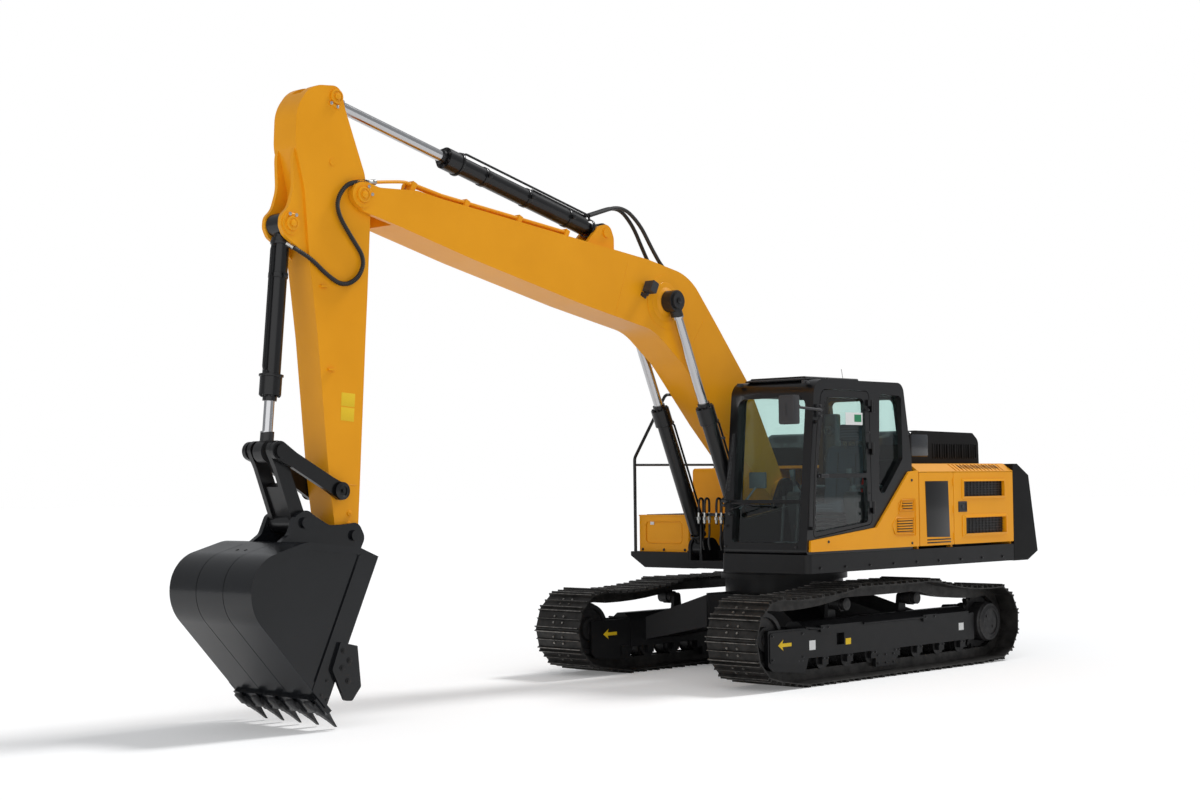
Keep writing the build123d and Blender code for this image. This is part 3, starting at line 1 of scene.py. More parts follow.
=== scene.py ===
import json
import math
import bpy
from mathutils import Matrix, Vector
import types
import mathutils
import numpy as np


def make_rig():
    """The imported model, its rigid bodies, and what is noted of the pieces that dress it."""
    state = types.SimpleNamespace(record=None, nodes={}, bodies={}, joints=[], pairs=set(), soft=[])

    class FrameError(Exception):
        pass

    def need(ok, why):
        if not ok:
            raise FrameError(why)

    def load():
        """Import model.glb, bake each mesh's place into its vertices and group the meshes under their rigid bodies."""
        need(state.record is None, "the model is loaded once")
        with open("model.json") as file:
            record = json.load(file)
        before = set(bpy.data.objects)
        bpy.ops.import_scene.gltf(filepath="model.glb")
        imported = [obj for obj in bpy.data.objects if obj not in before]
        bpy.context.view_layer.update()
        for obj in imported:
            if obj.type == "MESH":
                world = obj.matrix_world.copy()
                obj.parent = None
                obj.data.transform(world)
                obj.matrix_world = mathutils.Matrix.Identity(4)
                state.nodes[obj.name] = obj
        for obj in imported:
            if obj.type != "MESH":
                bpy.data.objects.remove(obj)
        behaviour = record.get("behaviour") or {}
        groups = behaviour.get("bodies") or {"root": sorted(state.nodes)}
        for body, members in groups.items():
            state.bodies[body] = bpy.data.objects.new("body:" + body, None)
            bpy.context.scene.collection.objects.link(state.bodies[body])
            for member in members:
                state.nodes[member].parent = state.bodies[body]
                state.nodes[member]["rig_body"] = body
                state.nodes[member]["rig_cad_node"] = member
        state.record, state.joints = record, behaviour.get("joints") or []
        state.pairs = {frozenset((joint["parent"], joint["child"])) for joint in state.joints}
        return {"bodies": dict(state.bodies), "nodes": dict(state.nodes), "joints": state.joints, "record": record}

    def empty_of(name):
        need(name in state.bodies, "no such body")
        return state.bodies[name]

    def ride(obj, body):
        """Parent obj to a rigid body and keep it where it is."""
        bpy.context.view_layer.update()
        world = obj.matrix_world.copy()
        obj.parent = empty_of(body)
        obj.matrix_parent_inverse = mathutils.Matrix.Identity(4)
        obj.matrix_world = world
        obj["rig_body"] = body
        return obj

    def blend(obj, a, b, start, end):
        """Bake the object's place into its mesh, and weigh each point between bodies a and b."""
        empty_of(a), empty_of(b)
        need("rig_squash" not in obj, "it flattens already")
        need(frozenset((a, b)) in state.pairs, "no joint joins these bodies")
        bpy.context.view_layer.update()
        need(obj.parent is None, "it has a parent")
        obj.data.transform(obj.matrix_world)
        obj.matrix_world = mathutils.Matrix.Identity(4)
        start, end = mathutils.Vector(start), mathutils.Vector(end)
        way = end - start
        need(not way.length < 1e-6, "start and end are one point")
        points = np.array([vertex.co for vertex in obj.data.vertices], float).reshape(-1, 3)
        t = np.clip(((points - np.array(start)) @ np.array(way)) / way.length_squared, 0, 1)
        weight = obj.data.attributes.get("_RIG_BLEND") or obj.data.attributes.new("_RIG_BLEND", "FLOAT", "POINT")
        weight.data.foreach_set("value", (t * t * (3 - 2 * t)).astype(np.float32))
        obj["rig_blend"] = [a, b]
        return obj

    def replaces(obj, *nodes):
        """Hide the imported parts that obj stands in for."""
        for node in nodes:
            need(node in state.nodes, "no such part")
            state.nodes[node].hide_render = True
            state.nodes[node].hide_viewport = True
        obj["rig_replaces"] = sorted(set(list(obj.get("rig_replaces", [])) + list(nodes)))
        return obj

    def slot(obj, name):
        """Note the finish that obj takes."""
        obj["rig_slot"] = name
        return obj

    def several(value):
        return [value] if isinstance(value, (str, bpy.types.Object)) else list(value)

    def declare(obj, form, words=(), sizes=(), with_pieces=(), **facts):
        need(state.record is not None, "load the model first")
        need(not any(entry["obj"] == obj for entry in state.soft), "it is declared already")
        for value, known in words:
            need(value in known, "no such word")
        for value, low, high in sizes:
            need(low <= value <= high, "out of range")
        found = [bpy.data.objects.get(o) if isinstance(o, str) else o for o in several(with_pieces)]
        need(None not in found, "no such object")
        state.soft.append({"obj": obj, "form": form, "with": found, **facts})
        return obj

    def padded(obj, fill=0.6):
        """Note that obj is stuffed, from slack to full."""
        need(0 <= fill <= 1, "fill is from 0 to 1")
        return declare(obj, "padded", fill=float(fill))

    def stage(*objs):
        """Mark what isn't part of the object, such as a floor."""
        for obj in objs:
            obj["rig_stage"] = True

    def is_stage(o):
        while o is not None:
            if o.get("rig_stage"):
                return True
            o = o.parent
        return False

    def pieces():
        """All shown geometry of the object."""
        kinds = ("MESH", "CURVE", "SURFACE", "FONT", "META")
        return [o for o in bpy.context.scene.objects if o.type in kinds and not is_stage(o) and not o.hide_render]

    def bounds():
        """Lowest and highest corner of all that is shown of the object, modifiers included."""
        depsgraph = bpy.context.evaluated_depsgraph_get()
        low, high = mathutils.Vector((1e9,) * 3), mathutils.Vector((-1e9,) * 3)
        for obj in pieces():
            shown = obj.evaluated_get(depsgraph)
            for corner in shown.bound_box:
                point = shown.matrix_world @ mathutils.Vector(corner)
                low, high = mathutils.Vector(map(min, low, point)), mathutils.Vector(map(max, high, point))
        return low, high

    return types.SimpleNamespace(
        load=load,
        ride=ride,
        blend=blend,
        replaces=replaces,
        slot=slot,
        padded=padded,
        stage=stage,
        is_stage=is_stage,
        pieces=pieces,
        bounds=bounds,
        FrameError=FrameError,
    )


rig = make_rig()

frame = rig.load()
scene = bpy.context.scene
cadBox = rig.bounds()
joints = {j["name"]: j for j in frame["joints"]}
print("frame loaded")


# --- places read from the frame

def pivot(name):
    return Vector(joints[name]["pos_m"])


sideY = pivot("boom_lift").y  # middle plane of boom, arm and bucket
boomFoot, boomTip, armTip = pivot("boom_lift"), pivot("arm_swing"), pivot("bucket_curl")
linkFoot, linkPivot = pivot("bucket_link_turn"), pivot("side_links_turn")
boomRodFoot, armRodFoot = pivot("boom_cylinder_turn"), pivot("arm_cylinder_turn")
bucketRodFoot = pivot("bucket_cylinder_turn")


def localFrame(start, end, turn=0.0):
    # points given along a line in the side view, and square to it
    d = end - start
    angle = math.atan2(d.z, d.x) + turn
    c, s = math.cos(angle), math.sin(angle)

    def at(u, v, y=0.0):
        return Vector((start.x + u * c - v * s, sideY + y, start.z + u * s + v * c))
    return at


onBoom = localFrame(boomFoot, boomTip)
onArm = localFrame(boomTip, armTip)
onBucket = localFrame(armTip, linkFoot)


def meetingPoint(a, b, fromA, fromB):
    # where two links' far ends meet, on the side away from the arm
    d = (b - a).length
    along = (fromA ** 2 - fromB ** 2 + d ** 2) / (2 * d)
    across = math.sqrt(fromA ** 2 - along ** 2)
    u = (b - a).normalized()
    normal = Vector((-u.z, 0, u.x))
    first, second = a + u * along + normal * across, a + u * along - normal * across
    return first if first.x > second.x else second


linkage = {"sideLink": 0.682, "bucketLink": 0.619}
linkMeeting = meetingPoint(linkPivot, linkFoot, linkage["sideLink"], linkage["bucketLink"])
boomRodPin, armRodPin = onBoom(2.362, 0.972), onArm(-0.79, 0.262)
rodEyes = (boomRodPin, armRodPin, linkMeeting)


# --- materials

def setInputs(node, values):
    for socket, value in values.items():
        node.inputs[socket].default_value = value


def addNode(nodes, kind, values=None, operation=None):
    node = nodes.new(kind)
    setInputs(node, values or {})
    if operation:
        node.operation = operation
    return node


def newMaterial(name):
    mat = bpy.data.materials.new(name)
    mat.use_nodes = True
    nodes = mat.node_tree.nodes
    return mat, nodes, mat.node_tree.links, nodes["Principled BSDF"]


def noiseNode(nodes, links, scale, detail=4.0, roughness=0.55):
    noise = addNode(nodes, "ShaderNodeTexNoise",
                    {"Scale": scale, "Detail": detail, "Roughness": roughness})
    coords = nodes.new("ShaderNodeTexCoord")
    links.new(coords.outputs["Object"], noise.inputs["Vector"])
    return noise.outputs["Fac"]


def rampNode(nodes, links, source, stops, target):
    # two stops of place and colour
    ramp = nodes.new("ShaderNodeValToRGB")
    for element, (position, colour) in zip(ramp.color_ramp.elements, stops):
        element.position = position
        element.color = (*colour, 1)
    links.new(source, ramp.inputs["Fac"])
    links.new(ramp.outputs["Color"], target)
    return ramp.outputs["Color"]


def bumpNode(nodes, links, source, strength, distance, bsdf):
    bump = addNode(nodes, "ShaderNodeBump", {"Strength": strength, "Distance": distance})
    links.new(source, bump.inputs["Height"])
    links.new(bump.outputs["Normal"], bsdf.inputs["Normal"])


def rangeNode(nodes, links, source, low, high, target):
    spread = addNode(nodes, "ShaderNodeMapRange", {"To Min": low, "To Max": high})
    links.new(source, spread.inputs["Value"])
    links.new(spread.outputs["Result"], target)


def mixShaders(nodes, links, factor, first, second):
    mix = nodes.new("ShaderNodeMixShader")
    links.new(factor, mix.inputs["Fac"])
    links.new(first, mix.inputs[1])
    links.new(second, mix.inputs[2])
    return mix.outputs["Shader"]


def paint(name, dark, light, roughness, coat=0.3, bump=0.05, shine=0.35):
    # slow colour drift, fine orange peel, clear coat
    mat, nodes, links, bsdf = newMaterial(name)
    rampNode(nodes, links, noiseNode(nodes, links, 1.3, 3), [(0.3, dark), (0.7, light)],
             bsdf.inputs["Base Color"])
    rangeNode(nodes, links, noiseNode(nodes, links, 7, 6, 0.7), roughness - 0.06,
              roughness + 0.08, bsdf.inputs["Roughness"])
    bumpNode(nodes, links, noiseNode(nodes, links, 180, 2), bump, 0.002, bsdf)
    setInputs(bsdf, {"Specular IOR Level": shine, "Coat Weight": coat, "Coat Roughness": 0.12})
    return mat


def castMetal(name, dark, light, roughness, metallic, grain):
    # blotches of bare metal between darker scale
    mat, nodes, links, bsdf = newMaterial(name)
    blotch = noiseNode(nodes, links, grain, 8, 0.65)
    rampNode(nodes, links, blotch, [(0.35, dark), (0.62, light)], bsdf.inputs["Base Color"])
    rangeNode(nodes, links, blotch, roughness + 0.12, roughness - 0.12,
              bsdf.inputs["Roughness"])
    bumpNode(nodes, links, blotch, 0.25, 0.004, bsdf)
    setInputs(bsdf, {"Metallic": metallic})
    return mat


def plastic(name, colour, roughness, grain=400):
    mat, nodes, links, bsdf = newMaterial(name)
    grainNoise = noiseNode(nodes, links, grain, 2)
    rampNode(nodes, links, grainNoise, [(0.3, tuple(c * 0.85 for c in colour)), (0.7, colour)],
             bsdf.inputs["Base Color"])
    bumpNode(nodes, links, grainNoise, 0.12, 0.001, bsdf)
    setInputs(bsdf, {"Roughness": roughness})
    return mat


def polishedRod(name, eyes=(), reach=0.16):
    # chrome, and black paint round each eye (its pin's place in the side view)
    mat, nodes, links, bsdf = newMaterial(name)
    rangeNode(nodes, links, noiseNode(nodes, links, 30, 3), 0.10, 0.2, bsdf.inputs["Roughness"])
    setInputs(bsdf, {"Base Color": (0.56, 0.56, 0.57, 1), "Metallic": 1.0})
    surface = bsdf.outputs["BSDF"]
    coords = nodes.new("ShaderNodeTexCoord")
    for eye in eyes:
        flat = addNode(nodes, "ShaderNodeVectorMath", {1: (1, 0, 1)}, "MULTIPLY")
        away = addNode(nodes, "ShaderNodeVectorMath", {1: (eye[0], 0, eye[2])}, "DISTANCE")
        near = addNode(nodes, "ShaderNodeMath", {1: reach}, "LESS_THAN")
        painted = addNode(nodes, "ShaderNodeBsdfPrincipled",
                          {"Base Color": (0.012, 0.012, 0.013, 1), "Roughness": 0.4})
        links.new(coords.outputs["Object"], flat.inputs[0])
        links.new(flat.outputs["Vector"], away.inputs[0])
        links.new(away.outputs["Value"], near.inputs[0])
        surface = mixShaders(nodes, links, near.outputs["Value"], surface,
                             painted.outputs["BSDF"])
    links.new(surface, nodes["Material Output"].inputs["Surface"])
    return mat


def windowGlass(name, tint):
    # clear with a tint, mirror-like at grazing angles on the face that is looked at
    mat, nodes, links, bsdf = newMaterial(name)
    clear = addNode(nodes, "ShaderNodeBsdfTransparent", {"Color": (*tint, 1)})
    gloss = addNode(nodes, "ShaderNodeBsdfGlossy", {"Roughness": 0.02})
    fresnel = addNode(nodes, "ShaderNodeFresnel", {"IOR": 1.65})
    side = nodes.new("ShaderNodeNewGeometry")
    front = addNode(nodes, "ShaderNodeMath", {0: 1.0}, "SUBTRACT")
    share = addNode(nodes, "ShaderNodeMath", None, "MULTIPLY")
    links.new(side.outputs["Backfacing"], front.inputs[1])
    links.new(fresnel.outputs["Fac"], share.inputs[0])
    links.new(front.outputs["Value"], share.inputs[1])
    surface = mixShaders(nodes, links, share.outputs["Value"], clear.outputs["BSDF"],
                         gloss.outputs["BSDF"])
    links.new(surface, nodes["Material Output"].inputs["Surface"])
    nodes.remove(bsdf)
    return mat


def wovenCloth(name, colour):
    mat, nodes, links, bsdf = newMaterial(name)
    coords = nodes.new("ShaderNodeTexCoord")
    weave = addNode(nodes, "ShaderNodeTexWave", {"Scale": 160, "Distortion": 1.5})
    links.new(coords.outputs["Object"], weave.inputs["Vector"])
    rampNode(nodes, links, weave.outputs["Fac"],
             [(0.2, tuple(c * 0.6 for c in colour)), (0.8, colour)], bsdf.inputs["Base Color"])
    bumpNode(nodes, links, weave.outputs["Fac"], 0.3, 0.002, bsdf)
    setInputs(bsdf, {"Roughness": 0.9})
    return mat


def perforated(name, metal, hole, scale):
    # rows of small round holes, as dark dots of painted shade
    mat, nodes, links, bsdf = newMaterial(name)
    coords = nodes.new("ShaderNodeTexCoord")
    cells = addNode(nodes, "ShaderNodeTexVoronoi", {"Scale": scale, "Randomness": 0.0})
    links.new(coords.outputs["Object"], cells.inputs["Vector"])
    dots = rampNode(nodes, links, cells.outputs["Distance"], [(0.30, hole), (0.36, metal)],
                    bsdf.inputs["Base Color"])
    bumpNode(nodes, links, dots, 0.5, 0.004, bsdf)
    setInputs(bsdf, {"Roughness": 0.5})
    return mat


yellow = paint("yellowPaint", (0.79, 0.32, 0.006), (0.85, 0.355, 0.009), 0.36, 0.08, 0.05, 0.2)
black = paint("blackPaint", (0.004, 0.004, 0.0045), (0.007, 0.007, 0.008), 0.3, 0.25, 0.05, 0.3)
skirtBlack = paint("texturedBlack", (0.005, 0.005, 0.0053), (0.009, 0.009, 0.0095),
                   0.5, 0.0, 0.3, 0.12)
bucketBlack = paint("bucketPaint", (0.003, 0.0036, 0.0045), (0.007, 0.008, 0.010),
                    0.22, 0.2, 0.2, 0.3)
frameBlack = paint("frameBlack", (0.005, 0.005, 0.0055), (0.009, 0.009, 0.010),
                   0.45, 0.05, 0.2, 0.25)
glossBlack = paint("glossBlack", (0.012, 0.014, 0.018), (0.018, 0.021, 0.027), 0.16, 0.6)
shoeSteel = castMetal("shoeSteel", (0.006, 0.0055, 0.005), (0.028, 0.026, 0.024), 0.5, 0.35, 9)
wornSteel = castMetal("wornSteel", (0.09, 0.085, 0.08), (0.30, 0.285, 0.265), 0.38, 0.85, 22)
castIron = castMetal("castIron", (0.008, 0.008, 0.009), (0.022, 0.021, 0.021), 0.5, 0.25, 14)
toothSteel = castMetal("toothSteel", (0.01, 0.01, 0.011), (0.045, 0.045, 0.047), 0.42, 0.4, 20)
zinc = castMetal("zincPlate", (0.42, 0.42, 0.40), (0.62, 0.62, 0.60), 0.3, 0.9, 40)
blackZinc = castMetal("blackZinc", (0.016, 0.016, 0.017), (0.05, 0.05, 0.052), 0.4, 0.5, 40)
rodChrome = polishedRod("rodChrome")
cylinderRod = polishedRod("cylinderRod", rodEyes)
mirrorSilver = polishedRod("mirrorSilver")
cabPane = windowGlass("cabPane", (0.85, 0.93, 0.915))
hoseRubber = plastic("hoseRubber", (0.012, 0.012, 0.012), 0.5, 300)
sealRubber = plastic("sealRubber", (0.008, 0.008, 0.008), 0.7, 200)
darkPlastic = plastic("darkPlastic", (0.03, 0.03, 0.033), 0.6)
cabGrey = plastic("cabGrey", (0.075, 0.09, 0.10), 0.55)
beltRed = plastic("beltRed", (0.42, 0.012, 0.01), 0.6)
paperWhite = plastic("paperWhite", (0.78, 0.79, 0.78), 0.6)
noticeGreen = plastic("noticeGreen", (0.01, 0.22, 0.09), 0.5)
plateYellow = plastic("plateYellow", (0.86, 0.56, 0.008), 0.6)
seatCloth = wovenCloth("seatCloth", (0.075, 0.09, 0.115))
# the sheet's holes are near-black dots of painted shade
meshSheet = perforated("meshSheet", (0.02, 0.02, 0.021), (0.002, 0.002, 0.002), 90)

nodeMaterials = (  # a material, and the nodes that have it
    (yellow, ("left_front_cover", "left_service_door", "left_radiator_door", "right_pump_door",
              "house_frame", "fuel_tank", "hydraulic_tank", "toolbox", "toolbox_lid", "boom",
              "arm")),
    (black, ("cab_frame", "cab_door", "handrails", "boom_cylinder_barrels",
             "arm_cylinder_barrel", "bucket_cylinder_barrel", "side_links", "bucket_link")),
    (skirtBlack, ("counterweight", "engine_hood")),
    (frameBlack, ("carbody", "track_frame_left", "track_frame_right", "revolving_frame")),
    (bucketBlack, ("bucket",)),
    (shoeSteel, ("track_left", "track_right")),
    (toothSteel, ("bucket_teeth",)),
    (castIron, ("idlers", "final_drives", "track_rollers", "carrier_rollers", "engine_block",
                "radiator")),
    (cylinderRod, ("boom_cylinder_rods", "arm_cylinder_rod", "bucket_cylinder_rod")),
    (cabPane, ("cab_glass", "door_glass")),
    (seatCloth, ("operator_seat",)),
    (darkPlastic, ("cab_consoles", "mirror_left", "work_lamp")),
    (meshSheet, ("radiator_grilles",)),
)
for mat, nodeNames in nodeMaterials:
    for nodeName in nodeNames:
        obj = frame["nodes"][nodeName]
        if not obj.material_slots:
            obj.data.materials.append(mat)
        for materialSlot in obj.material_slots:
            materialSlot.material = mat

slotMaterials = {  # a slot, and the materials of the pieces that go into it
    "yellow_paint": (yellow, paperWhite, noticeGreen, plateYellow),
    "black_paint": (black, skirtBlack, bucketBlack, frameBlack, glossBlack, blackZinc,
                    hoseRubber, sealRubber, meshSheet),
    "track_steel": (wornSteel,),
    "cast_steel": (castIron,),
    "tooth_steel": (toothSteel,),
    "chrome_rod": (rodChrome, zinc),
    "dark_plastic": (darkPlastic, cabGrey, mirrorSilver),
    "seat_cloth": (seatCloth, beltRed),
}
slotNames = {mat.name: slot for slot, mats in slotMaterials.items() for mat in mats}
print("materials done")


# --- ways of making

def pick(*objs):
    bpy.ops.object.select_all(action="DESELECT")
    for obj in objs:
        obj.select_set(True)
    bpy.context.view_layer.objects.active = objs[0]


def setMode(mode):
    bpy.ops.object.mode_set(mode=mode)


def settle(obj):
    pick(obj)
    bpy.ops.object.transform_apply(location=True, rotation=True, scale=True)


def applyAll(obj):
    pick(obj)
    for modifier in list(obj.modifiers):
        bpy.ops.object.modifier_apply(modifier=modifier.name)


def bevelEdges(obj, width, segments=2, angle=35):
    modifier = obj.modifiers.new("edge", "BEVEL")
    modifier.width = width
    modifier.segments = segments
    modifier.limit_method = "ANGLE"
    modifier.angle_limit = math.radians(angle)
    applyAll(obj)


def finishForm(name, edge):
    # names, settles and bevels the form just added
    obj = bpy.context.object
    obj.name = name
    settle(obj)
    if edge:
        bevelEdges(obj, edge)
    return obj


def addBlock(name, low, high, edge=0.003):
    bpy.ops.object.select_all(action="DESELECT")
    low, high = Vector(low), Vector(high)
    bpy.ops.mesh.primitive_cube_add(size=1, location=(low + high) / 2, scale=high - low)
    return finishForm(name, edge)


def addRound(name, start, end, radius, tip=None, sides=24, edge=0.002):
    bpy.ops.object.select_all(action="DESELECT")
    start, end = Vector(start), Vector(end)
    axis = end - start
    bpy.ops.mesh.primitive_cone_add(vertices=sides, radius1=radius,
                                    radius2=radius if tip is None else tip,
                                    depth=axis.length, location=(start + end) / 2,
                                    rotation=axis.to_track_quat("Z", "Y").to_euler())
    return finishForm(name, edge)


def selectFaces(obj, wanted):
    # leaves the object in edit mode with the wanted faces selected
    pick(obj)
    setMode("EDIT")
    bpy.ops.mesh.select_mode(type="FACE")
    bpy.ops.mesh.select_all(action="DESELECT")
    setMode("OBJECT")
    for face in obj.data.polygons:
        face.select = bool(wanted(face.normal, face.center))
    setMode("EDIT")


def insetFaces(obj, wanted, steps):
    # each step: inset width and depth, both in metres
    selectFaces(obj, wanted)
    for width, depth in steps:
        bpy.ops.mesh.inset(thickness=width, depth=depth, use_even_offset=True)
    setMode("OBJECT")


def cutThrough(obj, wanted, width):
    # opens a passage between two opposite faces, width in from their edges
    selectFaces(obj, wanted)
    bpy.ops.mesh.inset(thickness=width, depth=0)
    bpy.ops.mesh.bridge_edge_loops()
    setMode("OBJECT")
    return obj


def addRing(name, start, end, radius, inner, edge=0.003):
    # band with a round hole through it
    obj = addRound(name, start, end, radius, sides=40, edge=edge)
    axis = (Vector(end) - Vector(start)).normalized()
    return cutThrough(obj, lambda n, c: abs(n.dot(axis)) > 0.99, radius - edge - inner)


def addCurve(name, points, kind, dimensions, bevel, resolution):
    curve = bpy.data.curves.new(name, "CURVE")
    curve.dimensions = dimensions
    curve.bevel_depth = bevel
    curve.bevel_resolution = resolution
    spline = curve.splines.new(kind)
    spline.points.add(len(points) - 1)
    for point, place in zip(spline.points, points):
        point.co = (*place, 1)
    obj = bpy.data.objects.new(name, curve)
    scene.collection.objects.link(obj)
    return obj, curve, spline


def toMesh(obj):
    pick(obj)
    bpy.ops.object.convert(target="MESH")
    return bpy.context.object


def flatPlate(name, outline, y, thickness, edge=0.0015):
    # outline in the side view, y of its middle
    obj, curve, spline = addCurve(name, [(x, z, 0) for x, z in outline], "POLY", "2D", edge, 1)
    curve.fill_mode = "BOTH"
    curve.extrude = max(thickness / 2 - edge, 0.0002)
    spline.use_cyclic_u = True
    obj.rotation_euler = (math.radians(90), 0, 0)
    obj.location = (0, y, 0)
    obj = toMesh(obj)
    settle(obj)
    setMode("EDIT")
    bpy.ops.mesh.select_all(action="SELECT")
    bpy.ops.mesh.remove_doubles(threshold=0.00005)
    bpy.ops.mesh.normals_make_consistent(inside=False)
    setMode("OBJECT")
    return obj


def addCord(name, points, radius):
    # round smooth line through points, still a curve
    obj, curve, spline = addCurve(name, points, "NURBS", "3D", radius, 2)
    curve.resolution_u = 10
    curve.use_fill_caps = True
    spline.order_u = 3
    spline.use_endpoint_u = True
    return obj


def addHose(name, points, radius):
    return toMesh(addCord(name, points, radius))


def addRod(name, points, radius, closed=False):
    # round rod in straight runs
    obj, curve, spline = addCurve(name, points, "POLY", "3D", radius, 2)
    curve.use_fill_caps = True
    spline.use_cyclic_u = closed
    return toMesh(obj)


def readRoute(obj, step):
    # evenly spaced points and directions along a line that still is a curve
    depth, obj.data.bevel_depth = obj.data.bevel_depth, 0.0
    bpy.context.view_layer.update()
    mesh = bpy.data.meshes.new_from_object(obj)
    obj.data.bevel_depth = depth
    places = [v.co.copy() for v in mesh.vertices]
    bpy.data.meshes.remove(mesh)
    route, carried = [], 0.0
    for a, b in zip(places, places[1:]):
        length = (b - a).length
        while carried < length:
            route.append((a.lerp(b, carried / length), (b - a).normalized()))
            carried += step
        carried -= length
    return route


def placeCopy(master, matrix):
    # copy with its own mesh
    obj = master.copy()
    obj.data = master.data.copy()
    scene.collection.objects.link(obj)
    obj.matrix_world = matrix
    return obj


def turnedTo(place, direction):
    turn = Vector(direction).to_track_quat("Z", "Y")
    return Matrix.Translation(Vector(place)) @ turn.to_matrix().to_4x4()


def axesMatrix(x, y, z, place):
    # matrix with these three axes at this place
    return Matrix([(*row, 1.0 if i == 3 else 0.0)
                   for i, row in enumerate((x, y, z, place))]).transposed()


def joinAll(objs, name):
    pick(*objs)
    if len(objs) > 1:
        bpy.ops.object.join()
    obj = bpy.context.object
    obj.name = name
    settle(obj)
    return obj


def remove(obj):
    bpy.data.objects.remove(obj, do_unlink=True)


def makePiece(name, bits, material, body=None, slotName=None, angle=35):
    # one finished piece from its bits: joined, smoothed, painted, on its body
    obj = joinAll(bits, name)
    bpy.ops.object.shade_smooth_by_angle(angle=math.radians(angle), keep_sharp_edges=False)
    obj.data.materials.clear()
    obj.data.materials.append(material)
    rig.slot(obj, slotName or slotNames[material.name])
    if body:
        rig.ride(obj, body)
    return obj


def makeBolt(name, radius):
    # hexagon bolt head on its washer, axis +Z, made once and copied
    washer = addRound(name, (0, 0, 0), (0, 0, radius * 0.28), radius * 1.35, sides=16, edge=0.0008)
    head = addRound("head", (0, 0, radius * 0.2), (0, 0, radius * 0.95), radius, sides=6, edge=0)
    insetFaces(head, lambda n, c: n.z > 0.9, [(radius * 0.16, radius * 0.1)])
    return joinAll([washer, head], name)


def boltRow(name, master, places, direction, material, body):
    # direction is one for all, or one for each place
    many = isinstance(direction, list)
    copies = [placeCopy(master, turnedTo(place, direction[i] if many else direction))
              for i, place in enumerate(places)]
    return makePiece(name, copies, material, body)


boltSmall, boltLarge = makeBolt("boltSmall", 0.011), makeBolt("boltLarge", 0.019)
xPlus, yPlus, zPlus = (1, 0, 0), (0, 1, 0), (0, 0, 1)

# --- boom, arm and bucket: cylinders, pins, hoses

cylinders = {  # foot, rod pin, barrel length, radius, sideways places, body, flange, clamps
    "boomCylinder": (boomRodFoot, boomRodPin, 1.548, 0.076, (0.296, -0.296), "boom_barrels",
                     0.016, ()),
    "armCylinder": (armRodFoot, armRodPin, 2.028, 0.084, (0,), "arm_barrel",
                    0.026, (0.45, 1.0, 1.55)),
    "bucketCylinder": (bucketRodFoot, linkMeeting, 1.4, 0.074, (0,), "bucket_barrel",
                       0.026, (0.42,)),
}
longPipe = ((0.26, 1), (0.2, 1), (0.18, 0.8))  # back from the barrel's end, share of the lift
shortPipe = ((1.3, 1), (1.24, 1), (1.22, 0.8))


def cylinderTrim(name, foot, pin, length, radius, sides, body, flange, clamps):
    at = localFrame(foot, pin)
    along = (at(1, 0) - at(0, 0)).normalized()
    across = (at(0, 1) - at(0, 0)).normalized()
    bands = [(length - 0.172, length - 0.15, flange, 0.004), (0.135, 0.165, 0.008, 0.003)]
    bands += [(place - 0.022, place + 0.022, 0.007, 0.003) for place in clamps]
    bolts, rings, pipes = [], [], []
    for y in sides:
        for i in range(8):
            a = math.radians(45 * i + 22.5)
            spoke = across * math.cos(a) + Vector(yPlus) * math.sin(a)
            bolts.append(at(length + 0.001, 0, y) + spoke * radius)
        rings += [addRing("ring", at(start, 0, y), at(end, 0, y), radius + more, radius - 0.002,
                          edge) for start, end, more, edge in bands]
        for place in clamps:
            for s in (-1, 1):
                lug = addBlock("lug", (-0.02, -0.011, -0.02), (0.02, 0.011, 0.02), 0.004)
                lug.matrix_world = Matrix.Translation(at(place, 0, y + s * (radius + 0.022)))
                rings.append(lug)
    boltRow(name + "Bolts", boltSmall, bolts, along, blackZinc, body)
    makePiece(name + "Bands", rings, black, body)
    lift, seat = radius + 0.03, radius * 0.8
    runs = ((-1, shortPipe), (1, longPipe)) if len(clamps) > 1 else ((1, longPipe),)
    for y in sides:
        for s, ending in runs:
            points = [(0.17, seat), (0.19, lift), (0.26, lift), (length * 0.5, lift)]
            points += [(length - back, lift if share == 1 else seat) for back, share in ending]
            pipes.append(addHose("pipe", [at(u, v, y + s * 0.028) for u, v in points], 0.011))
        port = at(length - 0.18, radius * 0.9, y + 0.028)
        pipes.append(addRound("port", port - across * 0.01, port + across * 0.03, 0.022, sides=6))
    makePiece(name + "Pipes", pipes, black, body)


for cylinderName, row in cylinders.items():
    cylinderTrim(cylinderName, *row)
print("cylinders done")

pins = {  # place, face's distance from the middle plane, cap radius, body, paint, bolts' angle
    "armPin": (boomTip, 0.212, 0.066, "boom_body", yellow, 150),
    "armRodPin": (armRodPin, 0.148, 0.062, "arm_body", yellow, -70),
    "bucketCylinderPin": (bucketRodFoot, 0.134, 0.058, "arm_body", yellow, 95),
    "boomRodPinCap": (boomRodPin, 0.354, 0.07, "boom_rods", black, None),
}


